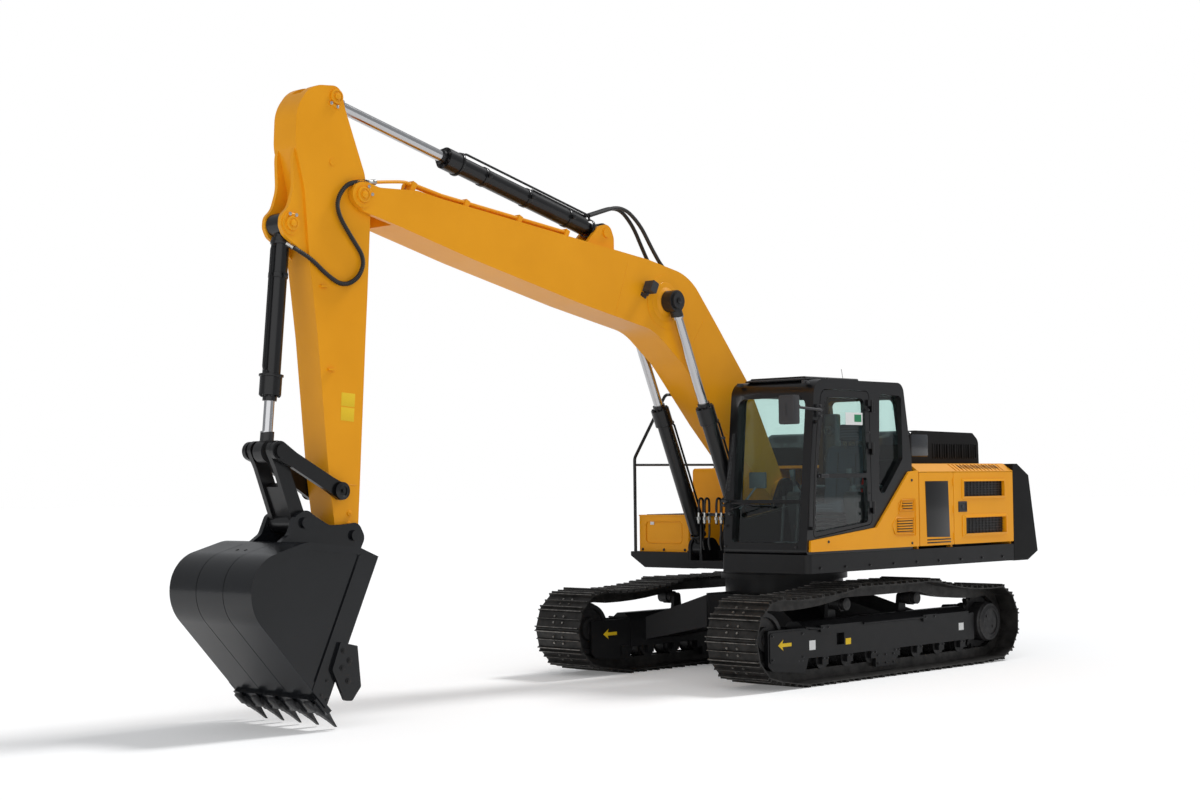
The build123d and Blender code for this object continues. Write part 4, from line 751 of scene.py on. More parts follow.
def pinCaps(name, place, face, radius, body, material, boltAngle):
    # cap with a hexagon on it, and a bar with two bolts that keeps the pin from turning
    caps, bolts, outwards = [], [], []
    for s in (-1, 1):
        centre = Vector((place.x, sideY + s * face, place.z))
        out = Vector((0, s, 0))
        cap = addRound("cap", centre - out * 0.004, centre + out * 0.022, radius, sides=48,
                       edge=0.004)
        insetFaces(cap, lambda n, c: n.y * s > 0.9, [(radius * 0.22, -0.003),
                                                     (radius * 0.1, 0.0)])
        caps += [cap, addRound("hex", centre + out * 0.015, centre + out * 0.034, radius * 0.5,
                               sides=6)]
        if boltAngle is not None:
            a = math.radians(boltAngle)
            toward, square = Vector((math.cos(a), 0, math.sin(a))), Vector((-math.sin(a), 0,
                                                                            math.cos(a)))
            middle, half = centre + toward * (radius * 1.25), square * (radius * 0.75)
            caps.append(addRound("bar", middle - half, middle + half, 0.016, sides=12,
                                 edge=0.003))
            bolts += [middle + square * (radius * 0.55 * q) + out * 0.014 for q in (-1, 1)]
            outwards += [out, out]
    if bolts:
        boltRow(name + "Bolts", boltSmall, bolts, outwards, zinc, body)
    makePiece(name, caps, material, body)


for pinName, row in pins.items():
    pinCaps(pinName, *row)
print("pins done")

# hose from the boom's nose to the bucket cylinder, in its guard of wire rings
guard = {"hose": 0.0165, "wire": 0.0042, "pitch": 0.017, "side": 0.178}
side = guard["side"]
nosePoints = ((5.646, 0.369, 0.15), (5.662, 0.365, 0.168), (5.72, 0.343, side),
              (5.90, 0.235, side), (5.97, 0.19, side), (6.03, 0.155, side))
elbowPoints = ((5.638, 0.371, 0.10), (5.652, 0.366, 0.10), (5.652, 0.34, 0.10),
               (5.64, 0.27, 0.10))
makePiece("nosePipes", [addHose("pipe", [onBoom(*p) for p in points], 0.0145)
                        for points in (nosePoints, elbowPoints)], yellow, "boom_body")
hoseOnBoom = ((6.03, 0.155, side), (6.075, 0.13, side + 0.004))
hoseOnArm = ((-0.10, 0.07, 0.186), (-0.055, 0.175, 0.19), (0.085, 0.262, 0.19),
             (0.215, 0.222, 0.186), (0.373, 0.083, 0.182), (0.53, -0.065, 0.18),
             (0.70, -0.005, 0.18), (0.785, 0.165, 0.18), (0.70, 0.345, 0.18),
             (0.60, 0.47, 0.165), (0.54, 0.57, 0.13), (0.51, 0.625, 0.105))
armHose = addCord("bucketHose", [onBoom(*p) for p in hoseOnBoom]
                  + [onArm(*p) for p in hoseOnArm], guard["hose"])
route = readRoute(armHose, guard["pitch"])
bpy.ops.mesh.primitive_torus_add(major_segments=14, minor_segments=5,
                                 major_radius=guard["hose"], minor_radius=guard["wire"])
ringMaster = bpy.context.object
rings = [placeCopy(ringMaster, turnedTo(*step)) for step in route[3:-3]]
remove(ringMaster)
armHose = makePiece("bucketHose", [toMesh(armHose), *rings], hoseRubber)
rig.blend(armHose, "boom_body", "arm_body", start=onBoom(6.05, 0.15), end=onArm(0.32, 0.1))
hoseEnd, hosePort = onArm(*hoseOnArm[-1]), onArm(0.478, 0.672, 0.07)
fittings = [addRound("sleeve", hoseEnd, hoseEnd.lerp(hosePort, 0.5), 0.019, 0.015, 12),
            addRound("nut", hoseEnd.lerp(hosePort, 0.45), hosePort, 0.02, sides=6)]
makePiece("bucketHoseFitting", fittings, zinc, "arm_body")
noseEnd = onBoom(6.02, 0.16, side)
fittings = [addRound("nut", onBoom(5.985, 0.181, side), noseEnd, 0.024, sides=6),
            addRound("sleeve", noseEnd, onBoom(6.06, 0.137, side + 0.002), 0.021, 0.018, 16)]
makePiece("noseFitting", fittings, zinc, "boom_body")

# hoses at the arm cylinder's foot, and the pipes down the boom's back that they come from
at = localFrame(armRodFoot, armRodPin)
hosesBack, backPipes = [], []
for s in (-1, 1):
    spread = s * 0.03
    points = [at(0.19, 0.114, spread), at(0.10, 0.17, spread)]
    points += [onBoom(u, v, spread * wide) for u, v, wide in
               ((3.14, 1.63, 1), (2.86, 1.585, 1.6), (2.62, 1.44, 2), (2.40, 1.325, 2.5),
                (2.25, 1.32, 2.5))]
    hosesBack.append(addHose("hose", points, 0.019))
    points = [onBoom(u, v, s * 0.075) for u, v in
              ((2.27, 1.32), (2.16, 1.316), (1.93, 1.262), (1.58, 1.165), (1.10, 0.915))]
    backPipes.append(addHose("pipe", points, 0.014))
hosesBack = makePiece("armCylinderHoses", hosesBack, hoseRubber)
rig.blend(hosesBack, "arm_barrel", "boom_body", start=at(0.16, 0.114), end=onBoom(2.9, 1.55))
makePiece("boomBackPipes", backPipes, yellow, "boom_body")
print("front hoses done")

# --- tracks: chain links, bolts and holes on the shoes

beltSupports = [(-1.5, 0.218, 0.18, 0), (1.5, 0.218, 0.18, 0), (1.835, 0.46, 0.362, 0.038),
                (0.56, 0.723, 0.17, 0.004), (-0.64, 0.723, 0.17, 0.038),
                (-1.835, 0.416, 0.362, 0)]  # x, z, radius, sag of the run that follows
track = {"middle": 1.1275, "shoes": 49, "plateTop": 0.012, "halfShoe": 0.2996,
         "outerBarTop": 0.0382, "middleBarTop": 0.0342}  # tops outward from the belt line


def tangentAngle(a, b):
    # direction square to the outer tangent between two circles
    dx, dz = b[0] - a[0], b[1] - a[1]
    return math.atan2(dz, dx) - math.acos((a[2] - b[2]) / math.hypot(dx, dz))


def beltLine(supports, step=0.004):
    # the line round all supports with its sags, as points, anticlockwise
    points = []
    for i, (x, z, r, sag) in enumerate(supports):
        before, after = supports[i - 1], supports[(i + 1) % len(supports)]
        leave, arrive = tangentAngle((x, z, r), after), tangentAngle(before, (x, z, r))
        turn = (leave - arrive) % math.tau
        if turn > math.pi * 1.5:
            turn = 0.0
        count = max(int(turn * r / step), 1)
        for k in range(count):
            angle = arrive + turn * k / count
            points.append((x + r * math.cos(angle), z + r * math.sin(angle)))
        start = (x + r * math.cos(leave), z + r * math.sin(leave))
        end = (after[0] + after[2] * math.cos(leave), after[1] + after[2] * math.sin(leave))
        length = math.dist(start, end)
        for k in range(int(length / step)):
            t = k * step / length
            points.append((start[0] + (end[0] - start[0]) * t,
                           start[1] + (end[1] - start[1]) * t - 4 * sag * t * (1 - t)))
    return points


def shoePlaces():
    # place and heading of each shoe, and the pitch between them
    line = beltLine(beltSupports)
    runs = list(zip(line, line[1:] + line[:1]))
    pitch = sum(math.dist(a, b) for a, b in runs) / track["shoes"]
    places, carried = [], -0.5 * pitch
    for a, b in runs:
        length = math.dist(a, b)
        while carried + length >= 0 and carried <= 0 and len(places) < track["shoes"]:
            t = -carried / length if length else 0
            heading = Vector((b[0] - a[0], 0, b[1] - a[1])).normalized()
            places.append((Vector((a[0] + (b[0] - a[0]) * t, 0, a[1] + (b[1] - a[1]) * t)),
                           heading))
            carried -= pitch
        carried += length
    return places, pitch


def shoeCopy(master, place, heading, y):
    # the master's +X goes along the belt, +Z outward
    outward = Vector((heading.z, 0, -heading.x))
    return placeCopy(master, axesMatrix(heading, outward.cross(heading), outward,
                                        (place.x, y, place.z)))


shoes, shoePitch = shoePlaces()
half = shoePitch / 2


def linkPlate():
    # one chain link's side plate with its raised rail edge and its two eyes
    outline = ((-0.98, -0.085), (0.86, -0.085), (0.98, -0.06), (0.86, -0.012),
               (-0.86, -0.012), (-0.98, -0.05))
    obj = flatPlate("plate", [(half * share, z) for share, z in outline], 0, 0.018, 0.003)
    eye = addRound("eye", (half, -0.016, -0.05), (half, 0.016, -0.05), 0.026, sides=12,
                   edge=0.003)
    nut = addRound("nut", (half * 0.3, 0.0, -0.03), (half * 0.3, 0.02, -0.03), 0.014, sides=6,
                   edge=0)
    return joinAll([obj, eye, nut], "linkPlate")


def shoeBolts():
    # four bolt heads between the shoe's bars
    top, heads = track["plateTop"], []
    for x in (-half * 0.36, half * 0.30):
        for y in (-0.062, 0.062):
            head = addRound("head", (x, y, top), (x, y, top + 0.011), 0.0125, sides=6, edge=0)
            insetFaces(head, lambda n, c: n.z > 0.9, [(0.003, -0.002)])
            heads.append(head)
    return joinAll(heads, "shoeBolts")


# dark discs of painted shade where the shoe's two mud holes are
def mudHoles():
    x, top = -half * 0.02, track["plateTop"]
    return joinAll([addRound("hole", (x, y, top - 0.002), (x, y, top + 0.0012), 0.011, sides=10,
                             edge=0) for y in (-0.018, 0.018)], "mudHoles")


def wornEdges():
    # ground steel along the tips of the shoe's three bars
    bars = []
    for low, high, top in ((-0.462, -0.425, track["outerBarTop"]),
                           (-0.007, 0.007, track["middleBarTop"]),
                           (0.425, 0.462, track["outerBarTop"])):
        bars.append(addBlock("bar", (low * shoePitch - 0.0004, -track["halfShoe"], top - 0.006),
                             (high * shoePitch + 0.0004, track["halfShoe"], top), 0))
    return joinAll(bars, "wornEdges")


chain = {  # the piece on each shoe, its places across the track, its paint
    "ChainLinks": (linkPlate(), (-0.063, 0.063), castIron),
    "ShoeBolts": (shoeBolts(), (0,), wornSteel),
    "MudHoles": (mudHoles(), (0,), sealRubber),
    "WornEdges": (wornEdges(), (0,), wornSteel),
}
for sideName, middle in (("left", track["middle"]), ("right", -track["middle"])):
    for pieceName, (master, across, material) in chain.items():
        copies = [shoeCopy(master, place, heading, middle + dy)
                  for place, heading in shoes for dy in across]
        makePiece(sideName + pieceName, copies, material, "undercarriage")
for master, across, material in chain.values():
    remove(master)
print("track chains done")

# --- cab: window seals, wipers, mirror, seat and controls

cab = {"middle": Vector((0.5, 0.82, 2.05)), "seatY": 0.8, "doorFace": 1.347}


def paneSeals(name, nodeName, body, radius=0.009):
    # rubber bead along the outer edge of each pane
    obj = bpy.data.objects.new(name, frame["nodes"][nodeName].data.copy())
    scene.collection.objects.link(obj)
    pick(obj)
    setMode("EDIT")
    bpy.ops.mesh.select_all(action="SELECT")
    bpy.ops.mesh.remove_doubles(threshold=0.00005)
    bpy.ops.mesh.dissolve_limited(angle_limit=math.radians(4))
    setMode("OBJECT")
    for face in obj.data.polygons:
        face.select = not (face.area > 0.02
                           and face.normal.dot(face.center - cab["middle"]) > 0.15)
    setMode("EDIT")
    bpy.ops.mesh.delete(type="FACE")
    setMode("OBJECT")
    bpy.ops.object.convert(target="CURVE")
    line = bpy.context.object
    line.data.bevel_depth = radius
    line.data.bevel_resolution = 1
    makePiece(name, [toMesh(line)], sealRubber, body, angle=60)


paneSeals("windowSeals", "cab_glass", "upper")
paneSeals("doorSeals", "door_glass", "cab_door_leaf")


def wiper(name, bladeStart, bladeEnd, foot):
    start, end, foot = Vector(bladeStart), Vector(bladeEnd), Vector(foot)
    spine, reach = Vector((0.014, 0, 0)), Vector((0.016, 0, 0))
    bits = [addRod("blade", [start, end], 0.009),
            addRod("spine", [start + spine, end + spine], 0.005),
            addRod("arm", [(start + end) / 2 + reach, foot + Vector((0.03, 0, 0.03)), foot],
                   0.0065),
            addRound("hub", foot - Vector((0.02, 0, 0)), foot + Vector((0.03, 0, 0)), 0.024,
                     0.017)]
    makePiece(name, bits, blackZinc, "upper")


wiper("upperWiper", (1.245, 0.385, 2.40), (1.325, 0.375, 1.84), (1.345, 0.36, 1.735))
wiper("lowerWiper", (1.372, 0.46, 1.72), (1.372, 0.80, 1.70), (1.35, 0.42, 1.62))

# knobs inside the front, nubs and brackets on the roof
bits = [addRound("knob", (1.335, 0.335, z), (1.372, 0.335, z), 0.017, 0.012)
        for z in (1.70, 1.742, 2.36)]
bits += [addRound("nub", (x, 1.25, z), (x, 1.25, z + 0.024), 0.022, 0.012, 16)
         for x, z in ((0.861, 2.903), (-0.201, 2.885), (1.18, 2.86))]
bits += [addBlock("bracket", (1.15, y - 0.02, 2.86), (1.21, y + 0.02, 2.895), 0.006)
         for y in (0.42, 1.22)]
makePiece("cabKnobs", bits, darkPlastic, "upper")
antenna = addRod("antenna", [(0.263, 1.0, 2.905), (0.27, 1.0, 2.93), (0.298, 1.0, 3.04)], 0.003)
makePiece("antenna", [antenna], zinc, "upper", slotName="dark_plastic")

# raised rib on the roof, round the hatch
hatch = addBlock("hatch", (0.46, 0.44, 2.902), (1.13, 1.18, 2.914), 0.004)
insetFaces(hatch, lambda n, c: n.z > 0.9, [(0.05, 0.0), (0.01, -0.008)])
makePiece("hatchRib", [hatch], black, "upper")

# mirror: a shell round the housing, its glass, its ball joint and the bar's clamps
mirror = {"at": Vector((1.57, 1.33, 2.6)), "size": Vector((0.09, 0.19, 0.27)),
          "gap": Vector((0.002,) * 3),  # how far the shell stands off the housing
          "glassLow": Vector((-0.044, -0.083, -0.122)),
          "glassHigh": Vector((-0.040, 0.083, 0.122))}
at = mirror["at"]
shell = addBlock("shell", at - mirror["size"] / 2 - mirror["gap"],
                 at + mirror["size"] / 2 + mirror["gap"], 0.018)
insetFaces(shell, lambda n, c: n.x > 0.98, [(0.018, 0.0), (0.012, -0.006), (0.03, 0.0),
                                            (0.006, 0.004)])
insetFaces(shell, lambda n, c: n.x < -0.98, [(0.006, 0.0), (0.004, -0.008)])
makePiece("mirrorShell", [shell], darkPlastic, "upper")
silver = addBlock("glass", at + mirror["glassLow"], at + mirror["glassHigh"], 0.001)
makePiece("mirrorGlass", [silver], mirrorSilver, "upper")
joint = [addRound("ball", at + Vector((-0.05, 0.05, 0.03)), at + Vector((-0.085, 0.05, 0.03)),
                  0.03, 0.02)]
joint += [addRound("clamp", (1.13, 1.345, z), (1.13, 1.375, z), 0.014, sides=6, edge=0)
          for z in (2.55, 2.645)]
makePiece("mirrorJoint", joint, darkPlastic, "upper")

# door: handle with its lock on the middle rail, bolts beside the hinges and on the pillars
y = cab["doorFace"]
grip = addBlock("grip", (1.005, y - 0.004, 1.958), (1.125, y + 0.016, 1.992), 0.006)
insetFaces(grip, lambda n, c: n.y > 0.95, [(0.007, 0.0), (0.003, -0.008)])
lock = addRound("lock", (1.15, y - 0.004, 1.974), (1.15, y + 0.009, 1.974), 0.012)
makePiece("doorTrim", [grip, lock], darkPlastic, "cab_door_leaf")
boltRow("doorBolts", boltSmall, [(0.335, y, z) for z in (1.60, 1.80, 2.40, 2.62)], yPlus,
        blackZinc, "cab_door_leaf")
boltRow("pillarBolts", boltSmall, [(1.335, y, z) for y in (1.20, 0.33) for z in (1.30, 1.50)],
        xPlus, blackZinc, "upper")

# operator's seat: base with bellows, cushion, back with side bolsters, head rest
seatPads = (  # low and high corners with y from the seat's middle, tilt, pivot, bolster's way
    ((-0.10, -0.25, 1.575), (0.44, 0.25, 1.665), -4, (-0.1, 1.56), (2, 0.045)),
    ((-0.10, -0.24, 1.66), (0.0, 0.24, 2.28), -7, (-0.05, 1.66), (0, 0.05)),
    ((-0.175, -0.135, 2.33), (-0.095, 0.135, 2.50), -4, (-0.13, 2.4), None),
)
bolster = {"from": 0.45, "gain": 1.8}  # share of the half width where it starts to rise


def pad(low, high, tilt, pivotAt, rise):
    # soft block, raised toward both sides, tilted about Y
    offset = Vector((0, cab["seatY"], 0))
    low, high = Vector(low) + offset, Vector(high) + offset
    obj = addBlock("pad", low, high, 0)
    pick(obj)
    setMode("EDIT")
    bpy.ops.mesh.select_all(action="SELECT")
    bpy.ops.mesh.subdivide(number_cuts=5)
    setMode("OBJECT")
    middle, halfWide = (low + high) / 2, (high.y - low.y) / 2
    for vertex in obj.data.vertices:
        away = vertex.co - middle
        share = max(abs(away.y) / halfWide - bolster["from"], 0)
        if rise and away[rise[0]] > 0:
            vertex.co[rise[0]] += rise[1] * share * bolster["gain"]
    obj.modifiers.new("soft", "SUBSURF").levels = 1
    applyAll(obj)
    at = Vector((pivotAt[0], cab["seatY"], pivotAt[1]))
    obj.matrix_world = (Matrix.Translation(at) @ Matrix.Rotation(math.radians(tilt), 4, "Y")
                        @ Matrix.Translation(-at))
    settle(obj)
    return obj


y = cab["seatY"]
pads = [pad(*row) for row in seatPads]
bits = [addBlock("base", (-0.06, y - 0.2, 1.242), (0.40, y + 0.2, 1.30), 0.008),
        addBlock("tray", (-0.10, y - 0.22, 1.552), (0.42, y + 0.22, 1.585), 0.008)]
bits += [addBlock("fold", (-0.03, y - 0.18, z), (0.36, y + 0.18, z + 0.028), 0.01)
         for z in (1.31 + i * 0.042 for i in range(6))]
for s in (-1, 1):
    bits.append(addRound("stem", (-0.125, y + s * 0.05, 2.2), (-0.135, y + s * 0.05, 2.36),
                         0.008))
    bits.append(addHose("seam", [(x + 0.012, y + s * 0.11, z) for x, z in
                                 ((-0.005, 1.74), (-0.035, 1.98), (-0.062, 2.22))], 0.003))
soft = makePiece("seatPads", pads, seatCloth, "upper", angle=60)
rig.replaces(soft, "operator_seat")
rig.padded(soft, fill=0.75)
makePiece("seatFrame", bits, darkPlastic, "upper")

# controls on both sides: armrest pad, lever's gaiter and grip, switches, pedal's ribs
bits = []
for side in (-1, 1):
    at = y + side * 0.355
    bits.append(addBlock("armPad", (-0.10, at - 0.05, 1.845), (0.24, at + 0.05, 1.885), 0.018))
    for i in range(4):
        x, z, r = 0.332 + i * 0.008, 1.80 + i * 0.022, 0.05 - i * 0.008
        bits.append(addRound("gaiter", (x, at, z), (x + 0.006, at, z + 0.02), r, r - 0.01, 16))
    bits.append(addRound("grip", (0.398, at, 1.95), (0.406, at, 2.045), 0.024, 0.032, 16, 0.006))
    for dz in (0.0, 0.02):
        bits.append(addRound("switch", (0.35 - dz, at + side * 0.02, 1.85 + dz),
                             (0.36 - dz, at + side * 0.02, 1.865 + dz), 0.008, sides=12))
    middle = y + side * 0.09
    bits += [addBlock("rib", (x, middle - 0.05, 1.33), (x + 0.012, middle + 0.05, 1.336), 0.001)
             for x in (0.87 + i * 0.028 for i in range(5))]

# monitor on its stalk, duct with two vents, belt with its buckle
monitor = addBlock("monitor", (1.03, 0.42, 1.86), (1.07, 0.62, 2.02), 0.01)
insetFaces(monitor, lambda n, c: n.x < -0.95, [(0.014, 0.0), (0.003, -0.004)])
stalk = addHose("stalk", [(1.06, 0.50, 1.87), (1.12, 0.46, 1.78), (1.19, 0.40, 1.66)], 0.012)
duct = addBlock("duct", (-0.36, 0.352, 1.245), (-0.25, 0.50, 2.62), 0.02)
bits += [monitor, stalk, duct]
for z in (2.16, 2.45):
    vent = addRound("vent", (-0.26, 0.426, z), (-0.225, 0.426, z), 0.06, 0.052)
    insetFaces(vent, lambda n, c: n.x > 0.95, [(0.012, 0.0), (0.004, -0.012), (0.016, 0.0),
                                               (0.01, 0.01)])
    bits.append(vent)
makePiece("cabControls", bits, cabGrey, "upper")
belt = addHose("belt", [(0.02, 1.09, 1.62), (0.06, 1.075, 1.72), (0.07, 1.05, 1.86),
                        (0.0, 1.045, 1.98)], 0.011)
makePiece("seatBelt", [belt], beltRed, "upper")
buckle = addBlock("buckle", (0.055, 1.055, 1.60), (0.09, 1.095, 1.70), 0.006)
makePiece("buckle", [buckle], beltRed, "upper")

# blank white notice inside the door's window, with a green patch
notice = addBlock("notice", (0.425, 1.3395, 2.47), (0.70, 1.3415, 2.59), 0)
makePiece("notice", [notice], paperWhite, "cab_door_leaf")
patch = addBlock("patch", (0.445, 1.3412, 2.50), (0.56, 1.3422, 2.572), 0)
makePiece("noticePatch", [patch], noticeGreen, "cab_door_leaf")
print("cab done")

# --- house: covers, doors, hood, tanks, rails and counterweight

house = {"left": 1.352, "right": -1.347, "roof": 2.094, "bevelEdge": 1.232, "bevelFoot": 2.012,
         "skirt": 1.350}
wall = house["left"]

# left cover: two louvred fields with raised edges, and its latches
coverFields = {  # outline in the side view, number of slats, where they end
    "upper": ([(-0.202, 1.731), (-0.410, 1.724), (-0.407, 1.614), (-0.162, 1.619)], 3, -0.215),
    "lower": ([(-0.104, 1.555), (-0.405, 1.553), (-0.400, 1.385), (-0.080, 1.394),
               (-0.027, 1.481)], 5, -0.125),
}
slats, slitShades = [], []
for fieldName, (outline, count, reach) in coverFields.items():
    edge = addRod("edge", [(x, wall + 0.001, z) for x, z in outline], 0.007, True)
    makePiece(fieldName + "FieldEdge", [edge], yellow, "upper", angle=60)
    low, high = min(z for x, z in outline) + 0.02, max(z for x, z in outline) - 0.02
    for i in range(count):
        z = low + (high - low) * (i + 0.5) / count
        slats.append(addBlock("slat", (-0.385, wall - 0.006, z), (reach, wall + 0.006, z + 0.013),
                              0.004))
        # a dark strip of painted shade in the louvre's gap under each slat
        slitShades.append(addBlock("slit", (-0.385, wall - 0.006, z - 0.009),
                              (reach, wall + 0.0015, z + 0.001), 0.0005))
makePiece("coverSlats", slats, yellow, "upper")
makePiece("coverSlits", slitShades, sealRubber, "upper")
latches = [addRound("latch", (x, wall - 0.002, z), (x, wall + 0.008, z), 0.015, 0.012)
           for x, z in ((-0.379, 1.925), (-0.370, 1.292), (1.02, 1.345))]
makePiece("coverLatches", latches, blackZinc, "upper")

# service door: blank black panel with two thin stripes under it
panel = flatPlate("panel", [(-0.616, 1.912), (-1.029, 1.912), (-1.050, 1.336), (-0.637, 1.346)],
                  wall + 0.001, 0.003, 0.0008)
makePiece("doorPanel", [panel], black, "service_door")
stripes = [flatPlate("stripe", [(-0.638, z + 0.006), (-1.067, z + 0.006), (-1.067, z - 0.006),
                                (-0.638, z - 0.006)], wall + 0.001, 0.002, 0.0005)
           for z in (1.315, 1.286)]
makePiece("doorStripes", stripes, black, "service_door")

# radiator door: framed openings, bars of the mesh inside them, latch plate
openings = [(-2.085, -1.311, 1.751, 1.903), (-2.114, -1.339, 1.363, 1.529)]
frames, bars = [], []
for x0, x1, z0, z1 in openings:
    ring = addBlock("ring", (x0 - 0.028, wall - 0.012, z0 - 0.028),
                    (x1 + 0.028, wall + 0.007, z1 + 0.028), 0.004)
    frames.append(cutThrough(ring, lambda n, c: abs(n.y) > 0.9, 0.026))
    for z in (z0 + (z1 - z0) * i / 6 for i in range(1, 6)):
        bars.append(addBlock("bar", (x0, wall - 0.030, z - 0.004), (x1, wall - 0.022, z + 0.004),
                             0.001))
    for x in (x0 + (x1 - x0) * i / 12 for i in range(1, 12)):
        bars.append(addBlock("bar", (x - 0.003, wall - 0.034, z0), (x + 0.003, wall - 0.026, z1),
                             0.001))
makePiece("openingFrames", frames, yellow, "radiator_door")
makePiece("openingBars", bars, blackZinc, "radiator_door")
latch = addBlock("latch", (-1.374, wall - 0.003, 1.588), (-1.214, wall + 0.007, 1.699), 0.006)
insetFaces(latch, lambda n, c: n.y > 0.9, [(0.014, 0.0), (0.006, -0.006)])
lock = addRound("lock", (-1.294, wall - 0.001, 1.643), (-1.294, wall + 0.009, 1.643), 0.024, 0.02)
makePiece("radiatorLatch", [latch, lock], darkPlastic, "radiator_door")

# slanted dark slots of painted shade across the bevel between the wall and the roof
slope = (house["roof"] - house["bevelFoot"]) / (wall - house["bevelEdge"])
slotShades = []
for x in (-1.36 - i * 0.05 for i in range(15)):
    ends = [(x + dx, y, house["roof"] - (y - house["bevelEdge"]) * slope + 0.001)
            for dx, y in ((0, 1.315), (0.02, 1.262))]
    slotShades.append(addRod("slot", ends, 0.0045))
makePiece("leftBevelSlots", slotShades, sealRubber, "upper")

# hinge pins of the service door
hingePins = [addRound("pin", (-1.125, wall + 0.004, z - 0.04), (-1.125, wall + 0.004, z + 0.04),
                      0.008, sides=12) for z in (1.34, 1.62, 1.90)]
makePiece("sideHinges", hingePins, yellow, "upper")

# hood: glossy front cap, fins on both sides, ribs and catches
hood = {"side": 0.955, "fins": 18, "finPitch": 0.046}
cap = addBlock("cap", (-1.30, -0.958, 2.135), (-0.925, 0.958, 2.438), 0)
bevelEdges(cap, 0.05, 4, 60)
makePiece("hoodCap", [cap], glossBlack, "hood")
fins = [addBlock("fin", (x, y - 0.006, 2.15), (x + 0.02, y + 0.006, 2.31), 0.004)
        for x in (-2.15 + i * hood["finPitch"] for i in range(hood["fins"]))
        for y in (-hood["side"], hood["side"])]
makePiece("hoodFins", fins, skirtBlack, "hood")
ribs = [addBlock("rib", (-2.06, y - 0.03, 2.428), (-1.36, y + 0.03, 2.442), 0.006)
        for y in (-0.6, -0.2, 0.2, 0.6)]
makePiece("hoodRibs", ribs, skirtBlack, "hood")
catches = [addBlock("catch", (x - 0.02, -0.98, 2.10), (x + 0.02, -0.955, 2.20), 0.005)
           for x in (-1.9, -1.1)]
makePiece("hoodCatches", catches, blackZinc, "hood")

# tanks: filler caps, sight gauge, tread plates on the steps
caps = []
for x, y, z, r in ((-0.30, -1.04, 2.077, 0.05), (-0.86, -0.97, 2.05, 0.06)):
    lid = addRound("lid", (x, y, z + 0.01), (x, y, z + 0.036), r, r * 0.92, 20, 0.004)
    insetFaces(lid, lambda n, c: n.z > 0.9, [(r * 0.25, 0.0), (0.002, -0.006)])
    caps += [addRound("neck", (x, y, z - 0.01), (x, y, z + 0.012), r * 0.8), lid]
makePiece("fillerCaps", caps, blackZinc, "upper")
gauge = addBlock("gauge", (-0.30, house["right"] - 0.004, 1.62),
                 (-0.27, house["right"] + 0.01, 1.80), 0.004)
makePiece("levelGauge", [gauge], rodChrome, "upper")
treads = [addBlock("tread", (x0, -1.30, z), (x1, -0.70, z + 0.004), 0.001)
          for x0, x1, z in ((-0.06, 0.68, 1.589), (-0.56, -0.40, 2.077))]
makePiece("treadPlates", treads, meshSheet, "upper")

# toolbox front: bead round its panel, a small blank plate, bolts under it
corners = [(-1.227, 1.290), (-0.78, 1.290), (-0.75, 1.32), (-0.75, 1.49), (-0.78, 1.52),
           (-1.227, 1.52), (-1.257, 1.49), (-1.257, 1.32)]
bead = addRod("bead", [(0.7465, y, z) for y, z in corners], 0.005, True)
makePiece("boxBead", [bead], yellow, "upper", angle=60)
plate = addBlock("plate", (0.745, -1.19, 1.485), (0.748, -1.14, 1.525), 0.0006)
makePiece("boxPlate", [plate], paperWhite, "upper")
boltRow("boxBolts", boltSmall, [(0.748, y, 1.225) for y in (-1.3, -1.0, -0.71)], xPlus,
        blackZinc, "upper")

# skirt bolts on both sides, rims of the counterweight's lifting eyes, rear camera
boltRow("skirtBolts", boltSmall, [(1.15 - 0.4 * i, house["skirt"], 1.10) for i in range(9)],
        yPlus, black, "upper")
boltRow("rightSkirtBolts", boltSmall, [(x, -1.349, 1.14) for x in (-0.9, -1.4, -1.9)],
        (0, -1, 0), black, "upper")
rims = []
for y in (-0.6, 0.6):
    rim = addRound("rim", (-2.43, y, 2.088), (-2.43, y, 2.096), 0.05)
    insetFaces(rim, lambda n, c: n.z > 0.9, [(0.02, 0.0), (0.004, -0.006)])
    rims.append(rim)
makePiece("liftingRims", rims, black, "upper")
eye = addBlock("eye", (-2.665, -0.06, 2.06), (-2.60, 0.06, 2.10), 0.01)
makePiece("rearEye", [eye], darkPlastic, "upper")

# hoses at the boom's foot: four arches through a bar on two legs, with bright fittings
foot = {"x": 0.95, "hose": 0.012, "hoses": (-0.31, -0.23, -0.075, -0.007), "legs": (-0.306, 0.008)}
archPoints = ((-0.035, 1.62), (-0.04, 1.70), (-0.03, 1.762), (0.02, 1.765), (0.035, 1.70),
              (0.035, 1.60), (0.03, 1.50))
dropPoints = ((-0.035, 0, 1.50), (-0.04, 0, 1.40), (0, 0.01, 1.32), (-0.02, 0.02, 1.24))
x = foot["x"]
fittings, rubber = [], []
for y in foot["hoses"]:
    rubber += [addHose("arch", [(x + dx, y, z) for dx, z in archPoints], foot["hose"]),
               addHose("drop", [(x + dx, y + dy, z) for dx, dy, z in dropPoints], foot["hose"])]
    for at in (x - 0.035, x + 0.035):
        fittings += [addRound("collar", (at, y, 1.51), (at, y, 1.62), 0.0135, sides=12),
                     addRound("nut", (at, y, 1.545), (at, y, 1.575), 0.02, sides=6, edge=0)]
makePiece("footHoses", rubber, hoseRubber, "upper", slotName="dark_plastic")
makePiece("footFittings", fittings, zinc, "upper")
bar = [addBlock("bar", (x - 0.012, -0.318, 1.585), (x + 0.012, 0.02, 1.612), 0.003)]
bar += [addBlock("leg", (x - 0.014, y - 0.01, 1.20), (x + 0.014, y + 0.01, 1.60), 0.003)
        for y in foot["legs"]]
makePiece("hoseBar", bar, black, "upper")
print("house done")

# --- bucket and arm: teeth, bolts, drain holes, caps and plates

